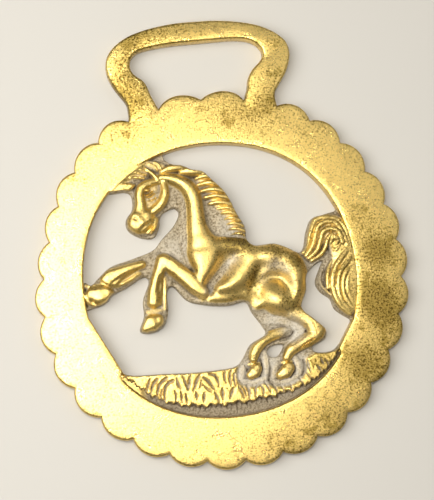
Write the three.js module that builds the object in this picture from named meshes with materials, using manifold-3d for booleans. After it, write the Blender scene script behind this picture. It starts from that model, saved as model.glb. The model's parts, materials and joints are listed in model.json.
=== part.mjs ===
// A horse brass: one flat brass casting, worn on a leather strap of heavy-horse harness.
// A scalloped ring carries a strap hanger above it, and its round window frames a prancing horse in relief
// that stands on a strip of grass. Hanger, ring, horse, tail and grass are all one casting, flat at the back.
// Millimetres, +Z up. The origin is the ring's centre on the flat back, the hanger points along +Y,
// and the horse faces -X.
import * as THREE from 'three';
import { ParametricGeometry } from 'three/addons/geometries/ParametricGeometry.js';
import { mergeVertices } from 'three/addons/utils/BufferGeometryUtils.js';
import Module from 'manifold-3d';

const wasm = await Module();
wasm.setup();

// ---- driving dimensions ----
const RIM_RADIUS = 38; // ring centre to the tip of a scallop
const SCALLOPS = 30;
const NOTCH_DEPTH = 1.6; // scallop tip down to the notch between two scallops
// The hand-finished edge isn't quite round. Each drift is [middle and spread in degrees, millimetres outwards].
const EDGE_DRIFTS = [[52, 22, 0.6], [121, 9, 0.5], [163, 18, -1.2], [217, 24, 0.4], [300, 14, 0.3]];
const LOBE_WIDENING = 0.3; // the lobes between the hanger's legs are cut this share wider
const LOBE_WIDENING_SPREAD = 14; // degrees
const RIM_THICKNESS = 3;
const EDGE_ROUND = 0.55; // rounded edge of the ring and hanger, back and front
const WINDOW_RADIUS = 27.85;
const WINDOW_SQUARENESS = 0.4; // the window bulges this much towards its diagonals
const WINDOW_CENTRE = new THREE.Vector2(-0.4, -0.2);
const WEB_THICKNESS = 1.8; // the low plate that carries the relief inside the window
const GROUND_THICKNESS = 2.7; // the strip of grass
const GRASS_CUT_DEPTH = 0.7;
const HANGER_TOP = 52.6; // outer edge of the strap bar
const SLOT_TOP = 48.4; // inner edge of the strap bar
const SLOT_FLAT = 4; // half of the straight middle stretch of that inner edge
const HANGER_FOOT = 33; // the hanger's feet end here, inside the ring

const STEPS_PER_SCALLOP = 6;
const STEPS_PER_KNOT = 3; // straight steps between two knots of a drawn curve
const TALL = 12; // higher than any relief, for cutting tools

const degrees = (angle) => THREE.MathUtils.degToRad(angle);
const at = ([x, y]) => new THREE.Vector2(x, y);

// ---- solids ----

// A closed geometry as a manifold-3d solid, with shared corners merged and collapsed faces left out.
function solidOf(geometry) {
  const bare = geometry.clone();
  bare.deleteAttribute('normal');
  bare.deleteAttribute('uv');
  const merged = mergeVertices(bare, 1e-4);
  const corners = merged.index.array;
  const kept = [];
  for (let i = 0; i < corners.length; i += 3) {
    const [a, b, c] = corners.slice(i, i + 3);
    if (a !== b && b !== c && c !== a) kept.push(a, b, c);
  }
  return new wasm.Manifold(
    new wasm.Mesh({
      numProp: 3,
      vertProperties: merged.attributes.position.array,
      triVerts: new Uint32Array(kept),
    }),
  );
}

function geometryOf(solid) {
  const mesh = solid.getMesh();
  return new THREE.BufferGeometry()
    .setAttribute('position', new THREE.BufferAttribute(mesh.vertProperties, 3))
    .setIndex(new THREE.BufferAttribute(mesh.triVerts, 1));
}

const joined = (solids) => solids.reduce((all, one) => all.add(one));

// A plate from z = 0 up to the thickness, with its edges rounded by `round` inside the drawn outline.
function plate(outline, thickness, { holes = [], round = 0, segments = 2 } = {}) {
  const shape = new THREE.Shape(outline);
  shape.holes = holes.map((hole) => new THREE.Path(hole));
  const geometry = new THREE.ExtrudeGeometry(shape, {
    depth: thickness - 2 * round,
    bevelEnabled: round > 0,
    bevelThickness: round,
    bevelSize: round,
    bevelOffset: -round,
    bevelSegments: segments,
  });
  return solidOf(geometry.translate(0, 0, round));
}

// ---- curves in plan ----

function drawn(knots, { closed = false, steps = STEPS_PER_KNOT } = {}) {
  const points = knots.map(([x, y]) => new THREE.Vector3(x, y, 0));
  const curve = new THREE.CatmullRomCurve3(points, closed, 'centripetal');
  const count = steps * (knots.length - (closed ? 0 : 1));
  const line = curve.getPoints(count).map((p) => new THREE.Vector2(p.x, p.y));
  return closed ? line.slice(0, -1) : line;
}

// A point on the window's edge, `beyond` millimetres outside it, at an angle from +X.
function windowPoint(angle, beyond = 0) {
  const a = degrees(angle);
  const radius = WINDOW_RADIUS - WINDOW_SQUARENESS * Math.cos(4 * a) + beyond;
  return new THREE.Vector2(Math.cos(a), Math.sin(a)).multiplyScalar(radius).add(WINDOW_CENTRE);
}

function windowArc(from, to, { beyond = 0, step = 6 } = {}) {
  const count = Math.max(1, Math.round(Math.abs(to - from) / step));
  const angleOf = (i) => THREE.MathUtils.lerp(from, to, i / count);
  return Array.from({ length: count + 1 }, (_, i) => windowPoint(angleOf(i), beyond));
}

// How far the ring's edge stands out from the true circle at a point, as a share of the radius.
function edgeDrift(point) {
  const angle = THREE.MathUtils.euclideanModulo(THREE.MathUtils.radToDeg(point.angle()), 360);
  const out = EDGE_DRIFTS.map(([middle, spread, amount]) => amount * Math.exp(-(((angle - middle) / spread) ** 2)));
  return out.reduce((a, b) => a + b) / RIM_RADIUS;
}

// How far round, in radians, a point of the edge moves away from the hanger's centre line: the two lobes
// between the hanger's legs are wider than the others.
function lobeShift(point) {
  const off = THREE.MathUtils.radToDeg(point.angle()) - 90;
  return degrees(LOBE_WIDENING * off * Math.exp(-((off / LOBE_WIDENING_SPREAD) ** 2)));
}

// The ring's edge: round lobes, meeting in notches, with a notch on the hanger's centre line.
function scallopedOutline() {
  const notchRadius = RIM_RADIUS - NOTCH_DEPTH;
  const halfPitch = Math.PI / SCALLOPS;
  const halfChord = notchRadius * Math.sin(halfPitch);
  const rise = RIM_RADIUS - notchRadius * Math.cos(halfPitch);
  const lobeRadius = (halfChord ** 2 + rise ** 2) / (2 * rise);
  const lobeCentre = RIM_RADIUS - lobeRadius;
  const spread = Math.asin(halfChord / lobeRadius);
  const outline = [];
  for (let lobe = 0; lobe < SCALLOPS; lobe++) {
    const middle = Math.PI / 2 + (2 * lobe + 1) * halfPitch;
    for (let step = 0; step < STEPS_PER_SCALLOP; step++) {
      const turn = middle - spread + (2 * spread * step) / STEPS_PER_SCALLOP;
      const point = new THREE.Vector2(
        lobeCentre * Math.cos(middle) + lobeRadius * Math.cos(turn),
        lobeCentre * Math.sin(middle) + lobeRadius * Math.sin(turn),
      );
      point.rotateAround(new THREE.Vector2(), lobeShift(point));
      outline.push(point.multiplyScalar(1 + edgeDrift(point)));
    }
  }
  return outline;
}

// ---- the ring and its hanger ----

// Where the ring's face ends against the window. Below, it runs straight to the two corners of the ground.
const GROUND_LEFT = [-21.7, -17.1];
const GROUND_RIGHT = [21.1, -17.2];

function ring() {
  const opening = [
    ...windowArc(-23, 190, { step: 7 }),
    at(GROUND_LEFT),
    ...windowArc(-142, -38, { step: 7 }),
    at(GROUND_RIGHT),
  ];
  return plate(scallopedOutline(), RIM_THICKNESS, { holes: [opening], round: EDGE_ROUND });
}

// The strap hanger: a wide bar on two waisted legs, a little heavier on its right. Its slot is drawn from each
// foot up to the straight stretch in the middle of the bar.
const HANGER_OUTER = [[-14.9, HANGER_FOOT], [-14.8, 35.6], [-15, 37.1], [-16, 38.8], [-17.1, 40.6], [-18, 42.7],
  [-18.3, 44.8], [-17.8, 47], [-16.1, 49], [-13.5, 50.6], [-10.4, 51.6], [-7.2, 52.2], [-3.2, HANGER_TOP],
  [0.8, HANGER_TOP], [5.4, 52.4], [10.4, 51.6], [14, 50.5], [17, 48.8], [18.9, 46.8], [19.4, 44.9], [19.1, 42.8],
  [18, 40.3], [16.4, 38.1], [15.4, 36.6], [15.2, 35.2], [15.5, HANGER_FOOT]];
const SLOT_LEFT = [[-8.8, HANGER_FOOT], [-8.8, 35], [-9.4, 36.8], [-10.1, 38.6], [-10.5, 40.1], [-11.2, 41.4],
  [-12.9, 42.9], [-13.5, 44.5], [-13.1, 46.1], [-11.6, 47.4], [-8, 48.1], [-SLOT_FLAT, SLOT_TOP]];
const SLOT_RIGHT = [[8.8, HANGER_FOOT], [8.8, 35], [9.4, 36.8], [9.9, 38], [10.2, 39.5], [10.7, 40.7],
  [11.5, 41.8], [12.8, 42.9], [13.8, 44.2], [13.8, 45.5], [12.9, 46.8], [11.2, 47.8], [8.4, 48.3], [SLOT_FLAT, SLOT_TOP]];

function hanger() {
  const outer = drawn(HANGER_OUTER, { steps: 1 });
  const slot = [...drawn(SLOT_RIGHT, { steps: 1 }), ...drawn(SLOT_LEFT, { steps: 1 }).reverse()];
  return plate([...outer, ...slot], RIM_THICKNESS, { round: EDGE_ROUND });
}

// ---- the openings that are pierced right through ----
// Each follows the ring for a stretch, from one angle to another, then the horse's own outline back.

const OPENINGS = {
  aboveBack: {
    ring: [25, 108],
    edge: [[-8.8, 25], [-7.4, 24], [-5.4, 23.6], [-3.6, 22.6], [-1.4, 22], [0.2, 20.2], [2.1, 18.1],
      [3.4, 15.8], [4.4, 12.9], [5.8, 9.8], [5.9, 7.1], [7.2, 5.9], [11.2, 5.8], [13.6, 4.8], [16.2, 3.4],
      [17.2, 4.2], [18.3, 7.6], [19.7, 10], [21.9, 10.5], [24.7, 11]],
  },
  beforeHead: {
    ring: [137, 175],
    edge: [[-27.3, 2.1], [-26.3, 1.5], [-24.6, 2.8], [-22.2, 4.6], [-17.5, 5.8], [-13, 7.2], [-11.4, 8.9],
      [-8.2, 11.9], [-7.1, 14.2], [-8, 15.1], [-10.8, 13.9], [-11.5, 11.4], [-12.8, 9.6], [-15.4, 10],
      [-17.7, 11.8], [-17.8, 13.8], [-16.4, 15.6], [-16.2, 18.5], [-17, 19.3], [-20.2, 19.4]],
  },
  underBelly: {
    ring: [187, 192],
    edge: [[-24.6, -11.2], [-22.1, -16.3], [-20.8, -17.05], [-14, -17.6], [-7, -18.1], [0.8, -17.7],
      [2.2, -16.4], [4, -13.9], [7.4, -12], [6.9, -10.5], [5.1, -7.4], [4.2, -5.3], [0.4, -5.6],
      [-4.6, -4.8], [-7.6, -3.6], [-10.2, -0.5], [-11.2, -1], [-11.8, -6], [-13.2, -8.5], [-16, -9.3],
      [-17.6, -8.7], [-16.5, -5.8], [-16.3, -2.6], [-14.7, 1.2], [-15.4, 2], [-19.4, 0.2], [-22.4, -1],
      [-23.8, -2.4], [-27, -3.2]],
  },
  behindHocks: {
    ring: [-29, -25],
    edge: [[24.8, -11], [23.1, -9.8], [21.9, -8.5], [21.4, -6.7], [19.5, -4.9], [18.8, -3], [20, -0.3],
      [20.8, 1.3], [18.8, 0.5], [17.1, -1.2], [16.5, -4.4], [15.2, -7.7], [17.4, -10.2], [19.5, -12.7],
      [19.2, -14.3], [16.2, -15.9], [16.6, -16.8], [20.4, -17], [22.3, -15.6]],
  },
};
const BETWEEN_HIND_LEGS = [[7, -15.8], [7.9, -14.7], [10.6, -14.7], [9.2, -16.8], [7.6, -16.8]];

function pierced({ ring: [from, to], edge }) {
  return [...windowArc(from, to, { beyond: 0.4 }), ...drawn(edge, { steps: 2 })];
}

// The window's plate in plan, as a solid of the given thickness: a disc with the openings cut away.
function windowPlate(thickness) {
  const disc = Array.from({ length: 48 }, (_, i) => windowPoint(i * 7.5, 3));
  const openings = Object.values(OPENINGS).map(pierced);
  openings.push(drawn(BETWEEN_HIND_LEGS, { closed: true, steps: 2 }));
  return openings.reduce(
    (left, opening) => left.subtract(plate(opening, 2 * TALL).translate([0, 0, -TALL])),
    plate(disc, thickness),
  );
}

// ---- the relief ----

const SUNK = 0.9; // how deep the underside of a form reaches into the web

// The line that a form follows, and the form's half width and crown along it, from the form's knots.
// A knot is [x, y, half width, crown above the web].
function spineOf(knots) {
  const places = knots.map(([x, y]) => new THREE.Vector3(x, y, 0));
  const sizes = knots.map(([, , width, crown]) => new THREE.Vector3(width, crown, 0));
  return {
    place: new THREE.CatmullRomCurve3(places, false, 'centripetal'),
    size: new THREE.CatmullRomCurve3(sizes),
  };
}

// One rounded form of the relief: round across, with a rounded tip at both ends.
function swell(knots, { around = 8, along = 8, blunt = 3 } = {}) {
  const { place, size } = spineOf(knots);
  const surface = (u, v, target) => {
    const t = (1 - Math.cos(Math.PI * v)) / 2;
    const end = (1 - Math.abs(2 * t - 1) ** blunt) ** (1 / blunt);
    const middle = place.getPoint(t);
    const tangent = place.getTangent(t);
    const { x: width, y: crown } = size.getPoint(t);
    const side = width * end * Math.cos(2 * Math.PI * u);
    const rise = end * Math.sin(2 * Math.PI * u);
    target.set(
      middle.x - tangent.y * side,
      middle.y + tangent.x * side,
      WEB_THICKNESS + rise * (rise > 0 ? crown : SUNK),
    );
  };
  return solidOf(new ParametricGeometry(surface, around, along));
}

const BODY = {
  trunk: [[-6.4, 6.6, 2.4, 0.9], [-2.6, 2.4, 5, 1.5], [4, 0.8, 5.6, 1.7], [9.6, -0.6, 5.4, 1.7],
    [14.6, -2.6, 4, 1.3]],
  chest: [[-10.2, 6.8, 1.6, 0.7], [-7.4, 3.6, 2.6, 1], [-6.2, -1.6, 1.8, 0.8]],
  shoulder: [[-0.4, 8.2, 1.4, 1.6], [-2.9, 6, 3.2, 2.8], [-3.8, 3, 2.7, 2.9], [-4.6, 0, 1.7, 2.3],
    [-5.2, -3.4, 1, 1.3]],
  withers: [[-2, 6.8, 1.3, 1.8], [3, 5.7, 1.7, 2], [7.5, 4, 2, 2.2], [12, 3.7, 1.9, 2.4]],
  barrel: [[-3.8, -3.2, 1.4, 1.6], [-0.4, -1.8, 2.7, 2.7], [4, 0.5, 3.2, 2.9], [8.4, 2.8, 2.3, 2.3]],
  belly: [[-5, -4, 1.1, 1], [0, -4, 1.7, 1.5], [4.8, -3.8, 1.7, 1.5], [8.2, -1.2, 1.6, 1.6]],
  rump: [[8, 3.2, 1.8, 2.3], [12, 2.8, 2.6, 2.9], [14.6, -0.2, 2.3, 3.1], [14.2, -4, 2, 2.8],
    [11.6, -8, 1.8, 2.1]],
  thigh: [[8.2, -1, 1.7, 1.7], [9.4, -4.9, 3, 3.2], [11.4, -8.8, 1.8, 1.9]],
  neck: [[-10.4, 21.2, 0.9, 1.4], [-7.2, 20.9, 1.1, 1.9], [-4.9, 18.7, 1.2, 2.1], [-3.8, 15.4, 1.3, 2.2],
    [-3.6, 12, 1.5, 2.2], [-4.4, 7.5, 1.9, 2.2]],
  throat: [[-8.6, 19.4, 1.1, 0.6], [-6.2, 15.8, 1.5, 0.8], [-6.2, 11.6, 2, 0.8], [-8.8, 7.6, 2.2, 0.6]],
};
const HEAD = {
  brow: [[-11.2, 20.7, 0.8, 1.5], [-13.2, 20.2, 1.2, 1.8], [-14.8, 18.6, 0.9, 1.7], [-15, 16, 0.9, 1.6],
    [-15, 14, 1.1, 1.7]],
  muzzle: [[-14.2, 15.2, 1.2, 1.4], [-15.2, 13.2, 2, 2], [-15.7, 11.4, 1.2, 1.5]],
  cheek: [[-10.2, 20.2, 0.8, 1.3], [-9.6, 17.8, 0.9, 1.6], [-10.6, 15.9, 0.9, 1.5], [-12.4, 14.5, 0.7, 1.2]],
  cheekHollow: [[-12.2, 20.2, 1.9, 0.8], [-12.6, 16.8, 2.2, 0.7], [-13, 12.6, 1.6, 0.8]],
  eye: [[-13.9, 18.9, 0.4, 1.7], [-12.3, 19.6, 0.4, 1.7]],
  chin: [[-14.6, 10.7, 0.6, 0.8], [-13.1, 10.9, 0.9, 1.1], [-12.1, 13, 0.8, 1]],
  ear: [[-10.4, 20.4, 0.6, 1.6], [-11.4, 21.8, 0.6, 1.5], [-13, 23.4, 0.3, 1.1]],
  forelock: [[-12, 21.7, 0.9, 1.1], [-14.2, 22.6, 1.3, 1.1], [-18.2, 21.2, 0.4, 1]],
  topknot: [[-8.8, 23.6, 0.9, 1.1], [-11.2, 23.7, 1.2, 1.1], [-13.6, 24.6, 0.4, 1]],
};
const LEGS = {
  nearForearm: [[-4.2, -2.2, 1.2, 1.8], [-7.4, 0.6, 1.5, 2.3], [-9.6, 3, 1.4, 2.2], [-12, 5.6, 1.3, 1.9]],
  nearCannon: [[-11.6, 6.2, 1.1, 1.7], [-12.7, 3, 1.3, 1.9], [-14, -0.6, 1.2, 1.8], [-14.8, -4.6, 1.3, 1.7]],
  nearTendon: [[-12, 2.6, 0.5, 1.1], [-12.6, -1, 0.6, 1.2], [-13, -4.4, 0.6, 1.1]],
  nearPastern: [[-16.2, -5.2, 0.9, 0.8], [-12.4, -5.2, 0.9, 0.8]],
  nearShank: [[-11, 4.6, 1.8, 0.7], [-12.6, 0.6, 2, 0.7], [-14, -4.6, 2, 0.6]],
  nearHoof: [[-13.4, -5.7, 1.2, 1.1], [-14.9, -7.2, 1.7, 1.6], [-17.5, -8.9, 0.6, 0.8]],
  farCannon: [[-14.8, 4.8, 0.7, 1], [-18.6, 4, 0.9, 1.3], [-22.2, 2.4, 1.4, 1.5], [-24.4, 2, 0.8, 1]],
  farTendon: [[-22.4, 0.1, 0.5, 0.8], [-18.6, 1.3, 0.5, 0.8], [-15.2, 2.9, 0.5, 0.8]],
  farHoof: [[-22.6, -0.6, 1, 1.1], [-24.8, -0.6, 1.5, 1.5], [-27.6, 0.4, 0.7, 1.3]],
  farShank: [[-14, 4.6, 1.5, 0.6], [-18.6, 2.8, 1.9, 0.6], [-23, 1, 1.8, 0.6]],
  farShoe: [[-28, 0.9, 0.4, 1.4], [-27.4, -1.2, 0.5, 1.4], [-25.2, -2.8, 0.3, 1]],
  nearGaskin: [[12.2, -8, 1.5, 1.6], [15.4, -10.4, 1.5, 2], [18.7, -13.6, 1.1, 1.7]],
  nearHindCannon: [[18.8, -13.3, 0.9, 1.6], [15.2, -14.7, 1.1, 1.8], [12.2, -16.1, 1, 1.7],
    [10.6, -18.3, 0.7, 1.3]],
  nearHindHoof: [[11.3, -18.9, 0.8, 1.3], [10.3, -20, 1.3, 1.6], [8, -21.3, 0.5, 1]],
  hindShank: [[9.6, -10.4, 2, 0.8], [13.6, -12.6, 2.2, 0.8], [17.4, -13.8, 1.2, 0.7]],
  farHindCannon: [[11.6, -12.2, 0.9, 0.9], [7.4, -13.1, 0.9, 1.2], [4.5, -15.3, 1, 1.4], [4, -17.4, 0.7, 1]],
  farHindHoof: [[4.9, -18.6, 0.7, 1.2], [3.9, -19.4, 1.1, 1.5], [2.3, -20.6, 0.5, 1]],
};
const MANE = [[-9.6, 22.6, 0.8, 1], [-5.8, 22.6, 1.2, 1.1], [-2.2, 20.6, 1.6, 1.1], [0.2, 17.4, 2, 1],
  [1.6, 13.6, 2.4, 1], [2.4, 9.6, 2.9, 0.9], [3, 7.2, 3.1, 0.8]];
const MANE_LOCKS = 13;

// The mane lies along the crest, parted into locks that sweep back and droop a little.
function mane() {
  const { place, size } = spineOf(MANE);
  const locks = [];
  for (let lock = 0; lock < MANE_LOCKS; lock++) {
    const t = (lock + 0.6) / MANE_LOCKS;
    const root = place.getPoint(t);
    const tangent = place.getTangent(t);
    const reach = size.getPoint(t).x;
    const knot = (across, droop, width, crown) => [
      root.x + reach * (tangent.x * droop - tangent.y * across),
      root.y + reach * (tangent.y * droop + tangent.x * across),
      width,
      crown,
    ];
    const lockKnots = [knot(-0.6, -0.3, 0.4, 1.1), knot(0.2, 0, 0.6, 1.6), knot(1, 0.4, 0.4, 1.2)];
    locks.push(swell(lockKnots, { around: 6, along: 4 }));
  }
  return joined([swell(MANE, { along: 12, blunt: 8 }), ...locks]);
}

// The tail leaves the croup, rises, curls over and falls along the ring. Its strands lie side by side,
// from the outer curl to the inner one.
const TAIL_OUTER = [[17.3, 3.2], [18.6, 7.2], [21.4, 9.9], [24.8, 8.6], [26.4, 4.4], [25.8, 0], [25.6, -4],
  [25.2, -9]];
const TAIL_INNER = [[17.9, 1], [20, 2.6], [21.6, 4.6], [23, 4.8], [22.8, 2.6], [20.6, 0.4], [20.2, -2.8],
  [22, -7.4]];
const TAIL_STRANDS = 5;
const STRAND_HALF_WIDTH = 0.75;

function tail() {
  const strands = [];
  for (let strand = 0; strand < TAIL_STRANDS; strand++) {
    const inward = strand / (TAIL_STRANDS - 1);
    const knots = TAIL_OUTER.map(([x, y], i) => [
      THREE.MathUtils.lerp(x, TAIL_INNER[i][0], inward),
      THREE.MathUtils.lerp(y, TAIL_INNER[i][1], inward),
      STRAND_HALF_WIDTH,
      THREE.MathUtils.lerp(1.9, 1.4, inward),
    ]);
    strands.push(swell(knots, { around: 6, along: 12, blunt: 5 }));
  }
  return joined(strands);
}

// The strip of grass. Its ragged front edge stands over a sunk channel, and the hind hooves stand in a dip.
const GROUND_BACK = [[-24, -15.5], [1.6, -15.5], [0.6, -18.4], [0, -20.6], [2.6, -21.9], [6.6, -21.6],
  [9, -22.6], [12.4, -21.9], [13.6, -19.6], [13.6, -17.2], [14.8, -15.5], [23, -15.5]];
const GROUND_FRONT = [[21.3, -17.6], [18.8, -20.3], [16, -22.2], [12.6, -23.6], [7, -24.6], [0, -25.1],
  [-6, -25], [-11.4, -24.2], [-16, -22.4], [-19.4, -19.6], [-21.9, -17.2]];
const RAGGED = 0.5;
const BLADE_PITCH = 1.4;
const BACK_ROW_Y = -19.7;

// A chisel cut between two blades of grass, as a pod laid in the grass at a lean from upright.
function chiselCut(x, y, length, lean) {
  const pod = new THREE.OctahedronGeometry(1).scale(0.4, length / 2, GRASS_CUT_DEPTH);
  return solidOf(pod.rotateZ(degrees(lean)).translate(x, y, GROUND_THICKNESS));
}

function ground() {
  const front = drawn(GROUND_FRONT).map(({ x, y }, i) => new THREE.Vector2(x, y + (i % 2 ? RAGGED : 0)));
  const strip = plate([...GROUND_BACK.map(at), ...front].reverse(), GROUND_THICKNESS);
  const frontY = (x) => -25.1 + 0.0145 * x ** 2;
  const cuts = [];
  for (let x = -17.6, i = 0; x < 19; x += BLADE_PITCH, i++) {
    const lean = -22 * Math.cos(1.9 * i) - 10 * Math.sign(x + 12);
    const behindHooves = x > 0 && x < 14;
    cuts.push(chiselCut(x, frontY(x) + 1.5 + 0.3 * Math.sin(2.3 * i), 2.2, lean));
    if (!behindHooves) cuts.push(chiselCut(x + 0.5, BACK_ROW_Y + 0.4 * Math.sin(1.3 * i), 2.8, -lean));
  }
  return strip.subtract(joined(cuts));
}

// ---- the casting ----

function casting() {
  const body = Object.values(BODY).map((knots) => swell(knots));
  const small = [...Object.values(HEAD), ...Object.values(LEGS)];
  const finer = small.map((knots) => swell(knots, { around: 8, along: 6 }));
  const relief = joined([...body, ...finer, mane(), tail(), ground()]).intersect(windowPlate(TALL));
  return joined([ring(), hanger(), windowPlate(WEB_THICKNESS), relief]);
}

const brass = new THREE.MeshStandardMaterial({ color: 0xc9a54e, metalness: 1, roughness: 0.38 });
const mesh = new THREE.Mesh(geometryOf(casting()), brass);
mesh.name = 'horse_brass';

const group = new THREE.Group();
group.add(mesh);

export default group;
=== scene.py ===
# %% [markdown]
# # A horse brass: a scalloped ring with a prancing horse in relief
# A horse brass is a small ornament that hangs on the leather harness of a heavy horse. This one is cast
# brass: a scalloped ring, a strap hanger above it, and in the ring's window a prancing horse on a strip
# of grass, with the gaps round the horse pierced right through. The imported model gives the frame: its
# box, its body and its material slot. It is loaded first and measured. The ring's radius and the hanger's
# top come from its box, and the slot's top and the ring's thickness from the mount of the strap bar.

# %% Load the frame
import json
import math

import bmesh
import bpy
import numpy as np
from mathutils import Matrix, Vector


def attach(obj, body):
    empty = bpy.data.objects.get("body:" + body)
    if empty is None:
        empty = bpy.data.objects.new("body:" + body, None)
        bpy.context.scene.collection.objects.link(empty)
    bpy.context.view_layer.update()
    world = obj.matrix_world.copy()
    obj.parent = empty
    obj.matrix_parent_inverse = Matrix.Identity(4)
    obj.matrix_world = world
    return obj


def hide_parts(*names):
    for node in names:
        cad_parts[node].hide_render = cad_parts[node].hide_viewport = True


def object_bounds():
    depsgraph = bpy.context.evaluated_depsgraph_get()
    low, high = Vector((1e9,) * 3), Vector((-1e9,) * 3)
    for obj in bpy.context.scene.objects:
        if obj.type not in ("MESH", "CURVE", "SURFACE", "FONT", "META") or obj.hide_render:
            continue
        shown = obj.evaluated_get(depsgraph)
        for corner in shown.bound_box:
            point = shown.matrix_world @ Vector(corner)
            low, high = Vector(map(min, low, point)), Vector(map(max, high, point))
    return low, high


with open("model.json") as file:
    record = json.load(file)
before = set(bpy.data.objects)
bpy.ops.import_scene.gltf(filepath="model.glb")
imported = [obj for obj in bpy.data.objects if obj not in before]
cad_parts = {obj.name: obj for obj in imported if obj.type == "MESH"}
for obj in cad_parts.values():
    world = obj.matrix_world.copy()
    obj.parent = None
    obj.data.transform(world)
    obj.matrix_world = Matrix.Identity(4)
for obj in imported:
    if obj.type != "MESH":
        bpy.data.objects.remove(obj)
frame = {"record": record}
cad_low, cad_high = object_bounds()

MM = 0.001
print("CAD box in mm:", [round(v / MM, 2) for v in (*cad_low, *cad_high)])

# %% [markdown]
# ## Working scale and drawn lines
# The shapes are modelled in millimetres and scaled to metres once, at the end, because cutting and
# joining meshes is more exact on numbers of that size. Most outlines of a hand-carved pattern are free
# curves. A smooth line through a few knots keeps them easy to read and to change. The centripetal kind is
# used, because it doesn't loop where knots are close.

# %% A smooth line through knots
def smooth_line(knots, steps=5, closed=False):
    """Points on a smooth line through the knots. Every column of a knot is carried along."""
    k = np.asarray(knots, float)
    k = np.vstack([k[-1], k, k[:2]]) if closed else np.vstack([2 * k[0] - k[1], k, 2 * k[-1] - k[-2]])
    line = []
    for p0, p1, p2, p3 in zip(k, k[1:], k[2:], k[3:]):
        gaps = [max(math.dist(a[:2], b[:2]), 1e-6) ** 0.5 for a, b in ((p0, p1), (p1, p2), (p2, p3))]
        t0, t1, t2, t3 = np.cumsum([0, *gaps])
        for t in np.linspace(t1, t2, steps, endpoint=False):
            a1 = ((t1 - t) * p0 + (t - t0) * p1) / (t1 - t0)
            a2 = ((t2 - t) * p1 + (t - t1) * p2) / (t2 - t1)
            a3 = ((t3 - t) * p2 + (t - t2) * p3) / (t3 - t2)
            b1 = ((t2 - t) * a1 + (t - t0) * a2) / (t2 - t0)
            b2 = ((t3 - t) * a2 + (t - t1) * a3) / (t3 - t1)
            line.append(((t2 - t) * b1 + (t - t1) * b2) / (t2 - t1))
    if not closed:
        line.append(k[-2])
    return np.array(line)


print("a smooth line through 3 knots has", len(smooth_line([[0, 0], [1, 1], [2, 0]])), "points")

# %% [markdown]
# ## The ring
# The ring's edge is a row of round lobes that meet in notches, and its corners are rubbed round by
# polishing. The notches are filed by hand, so the edge drifts a little in and out of a true circle. It
# could be a flat drawing that is extruded and bevelled, but then the flat face has no inner points to
# carry the slight dishing of a polished casting. So its cross-section is spun round the middle instead,
# and the spun points are moved in or out afterwards until they meet the lobes outside and the window
# inside.

# %% The sizes of the ring
RIM_RADIUS = round(cad_high.x / MM, 1)
HANGER_TOP = round(cad_high.y / MM, 1)
# The mount of the strap bar lies on the slot's inner edge, half way up the metal.
strap_bar = next(mount["pos_m"] for mount in frame["record"]["mounts"] if mount["name"] == "strap_bar")
SLOT_TOP, RIM_THICKNESS = round(strap_bar[1] / MM, 1), round(2 * strap_bar[2] / MM, 1)
SCALLOPS = 30
NOTCH_DEPTH = 1.6
EDGE_ROUND = 0.55
WINDOW_RADIUS, WINDOW_SQUARENESS, WINDOW_CENTRE = 27.85, 0.4, (-0.4, -0.2)
GROUND_LEFT, GROUND_RIGHT = (-21.7, -17.1), (21.1, -17.2)
ANGLES = 720
# The two lobes between the hanger's legs are cut wider: by how much, and over how many degrees.
LOBE_WIDENING, LOBE_WIDENING_SPREAD = 0.3, 14
# The hand-filed edge isn't quite a circle: middle and spread in degrees, and how far it stands outwards.
EDGE_DRIFTS = [(52, 22, 0.6), (121, 9, 0.5), (163, 18, -1.2), (217, 24, 0.4), (300, 14, 0.3)]

HALF_PITCH = math.pi / SCALLOPS
half_chord = (RIM_RADIUS - NOTCH_DEPTH) * math.sin(HALF_PITCH)
rise = RIM_RADIUS - (RIM_RADIUS - NOTCH_DEPTH) * math.cos(HALF_PITCH)
LOBE_RADIUS = (half_chord**2 + rise**2) / (2 * rise)
LOBE_CENTRE = RIM_RADIUS - LOBE_RADIUS
print(f"each lobe is part of a circle of {LOBE_RADIUS:.2f} mm, centred {LOBE_CENTRE:.2f} mm out")


# %% The window's edge
def window_point(angle, beyond=0.0):
    """A point on the window's round edge, at an angle in degrees, or some way outside it."""
    a = math.radians(angle)
    radius = WINDOW_RADIUS - WINDOW_SQUARENESS * math.cos(4 * a) + beyond
    return (radius * math.cos(a) + WINDOW_CENTRE[0], radius * math.sin(a) + WINDOW_CENTRE[1])


def window_arc(start, end, beyond=0.0, step=2.0):
    count = max(1, round(abs(end - start) / step))
    return [window_point(start + (end - start) * i / count, beyond) for i in range(count + 1)]


WINDOW = np.array([*window_arc(-23, 190), GROUND_LEFT, *window_arc(-142, -38), GROUND_RIGHT])
print("the ring's window is", np.ptp(WINDOW, axis=0).round(1), "mm wide and high")


# %% How far out the ring's two edges are
def lobe_turn(angle):
    """The angle that each spoke of the ring turns to, where two lobes are wider than the others."""
    off = np.degrees(angle) % 360 - 90
    return angle + np.radians(LOBE_WIDENING * off * np.exp(-((off / LOBE_WIDENING_SPREAD) ** 2)))


def lobe_edge(angle):
    """Distance of the scalloped edge from the middle."""
    off = (angle - math.pi / 2) % (2 * HALF_PITCH) - HALF_PITCH
    reach = LOBE_CENTRE * np.cos(off) + np.sqrt(LOBE_RADIUS**2 - (LOBE_CENTRE * np.sin(off)) ** 2)
    degrees = np.degrees(lobe_turn(angle)) % 360
    drift = 0
    for middle, spread, amount in EDGE_DRIFTS:
        drift = drift + amount * np.exp(-(((degrees - middle) / spread) ** 2))
    return reach * (1 + drift / RIM_RADIUS)


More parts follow.
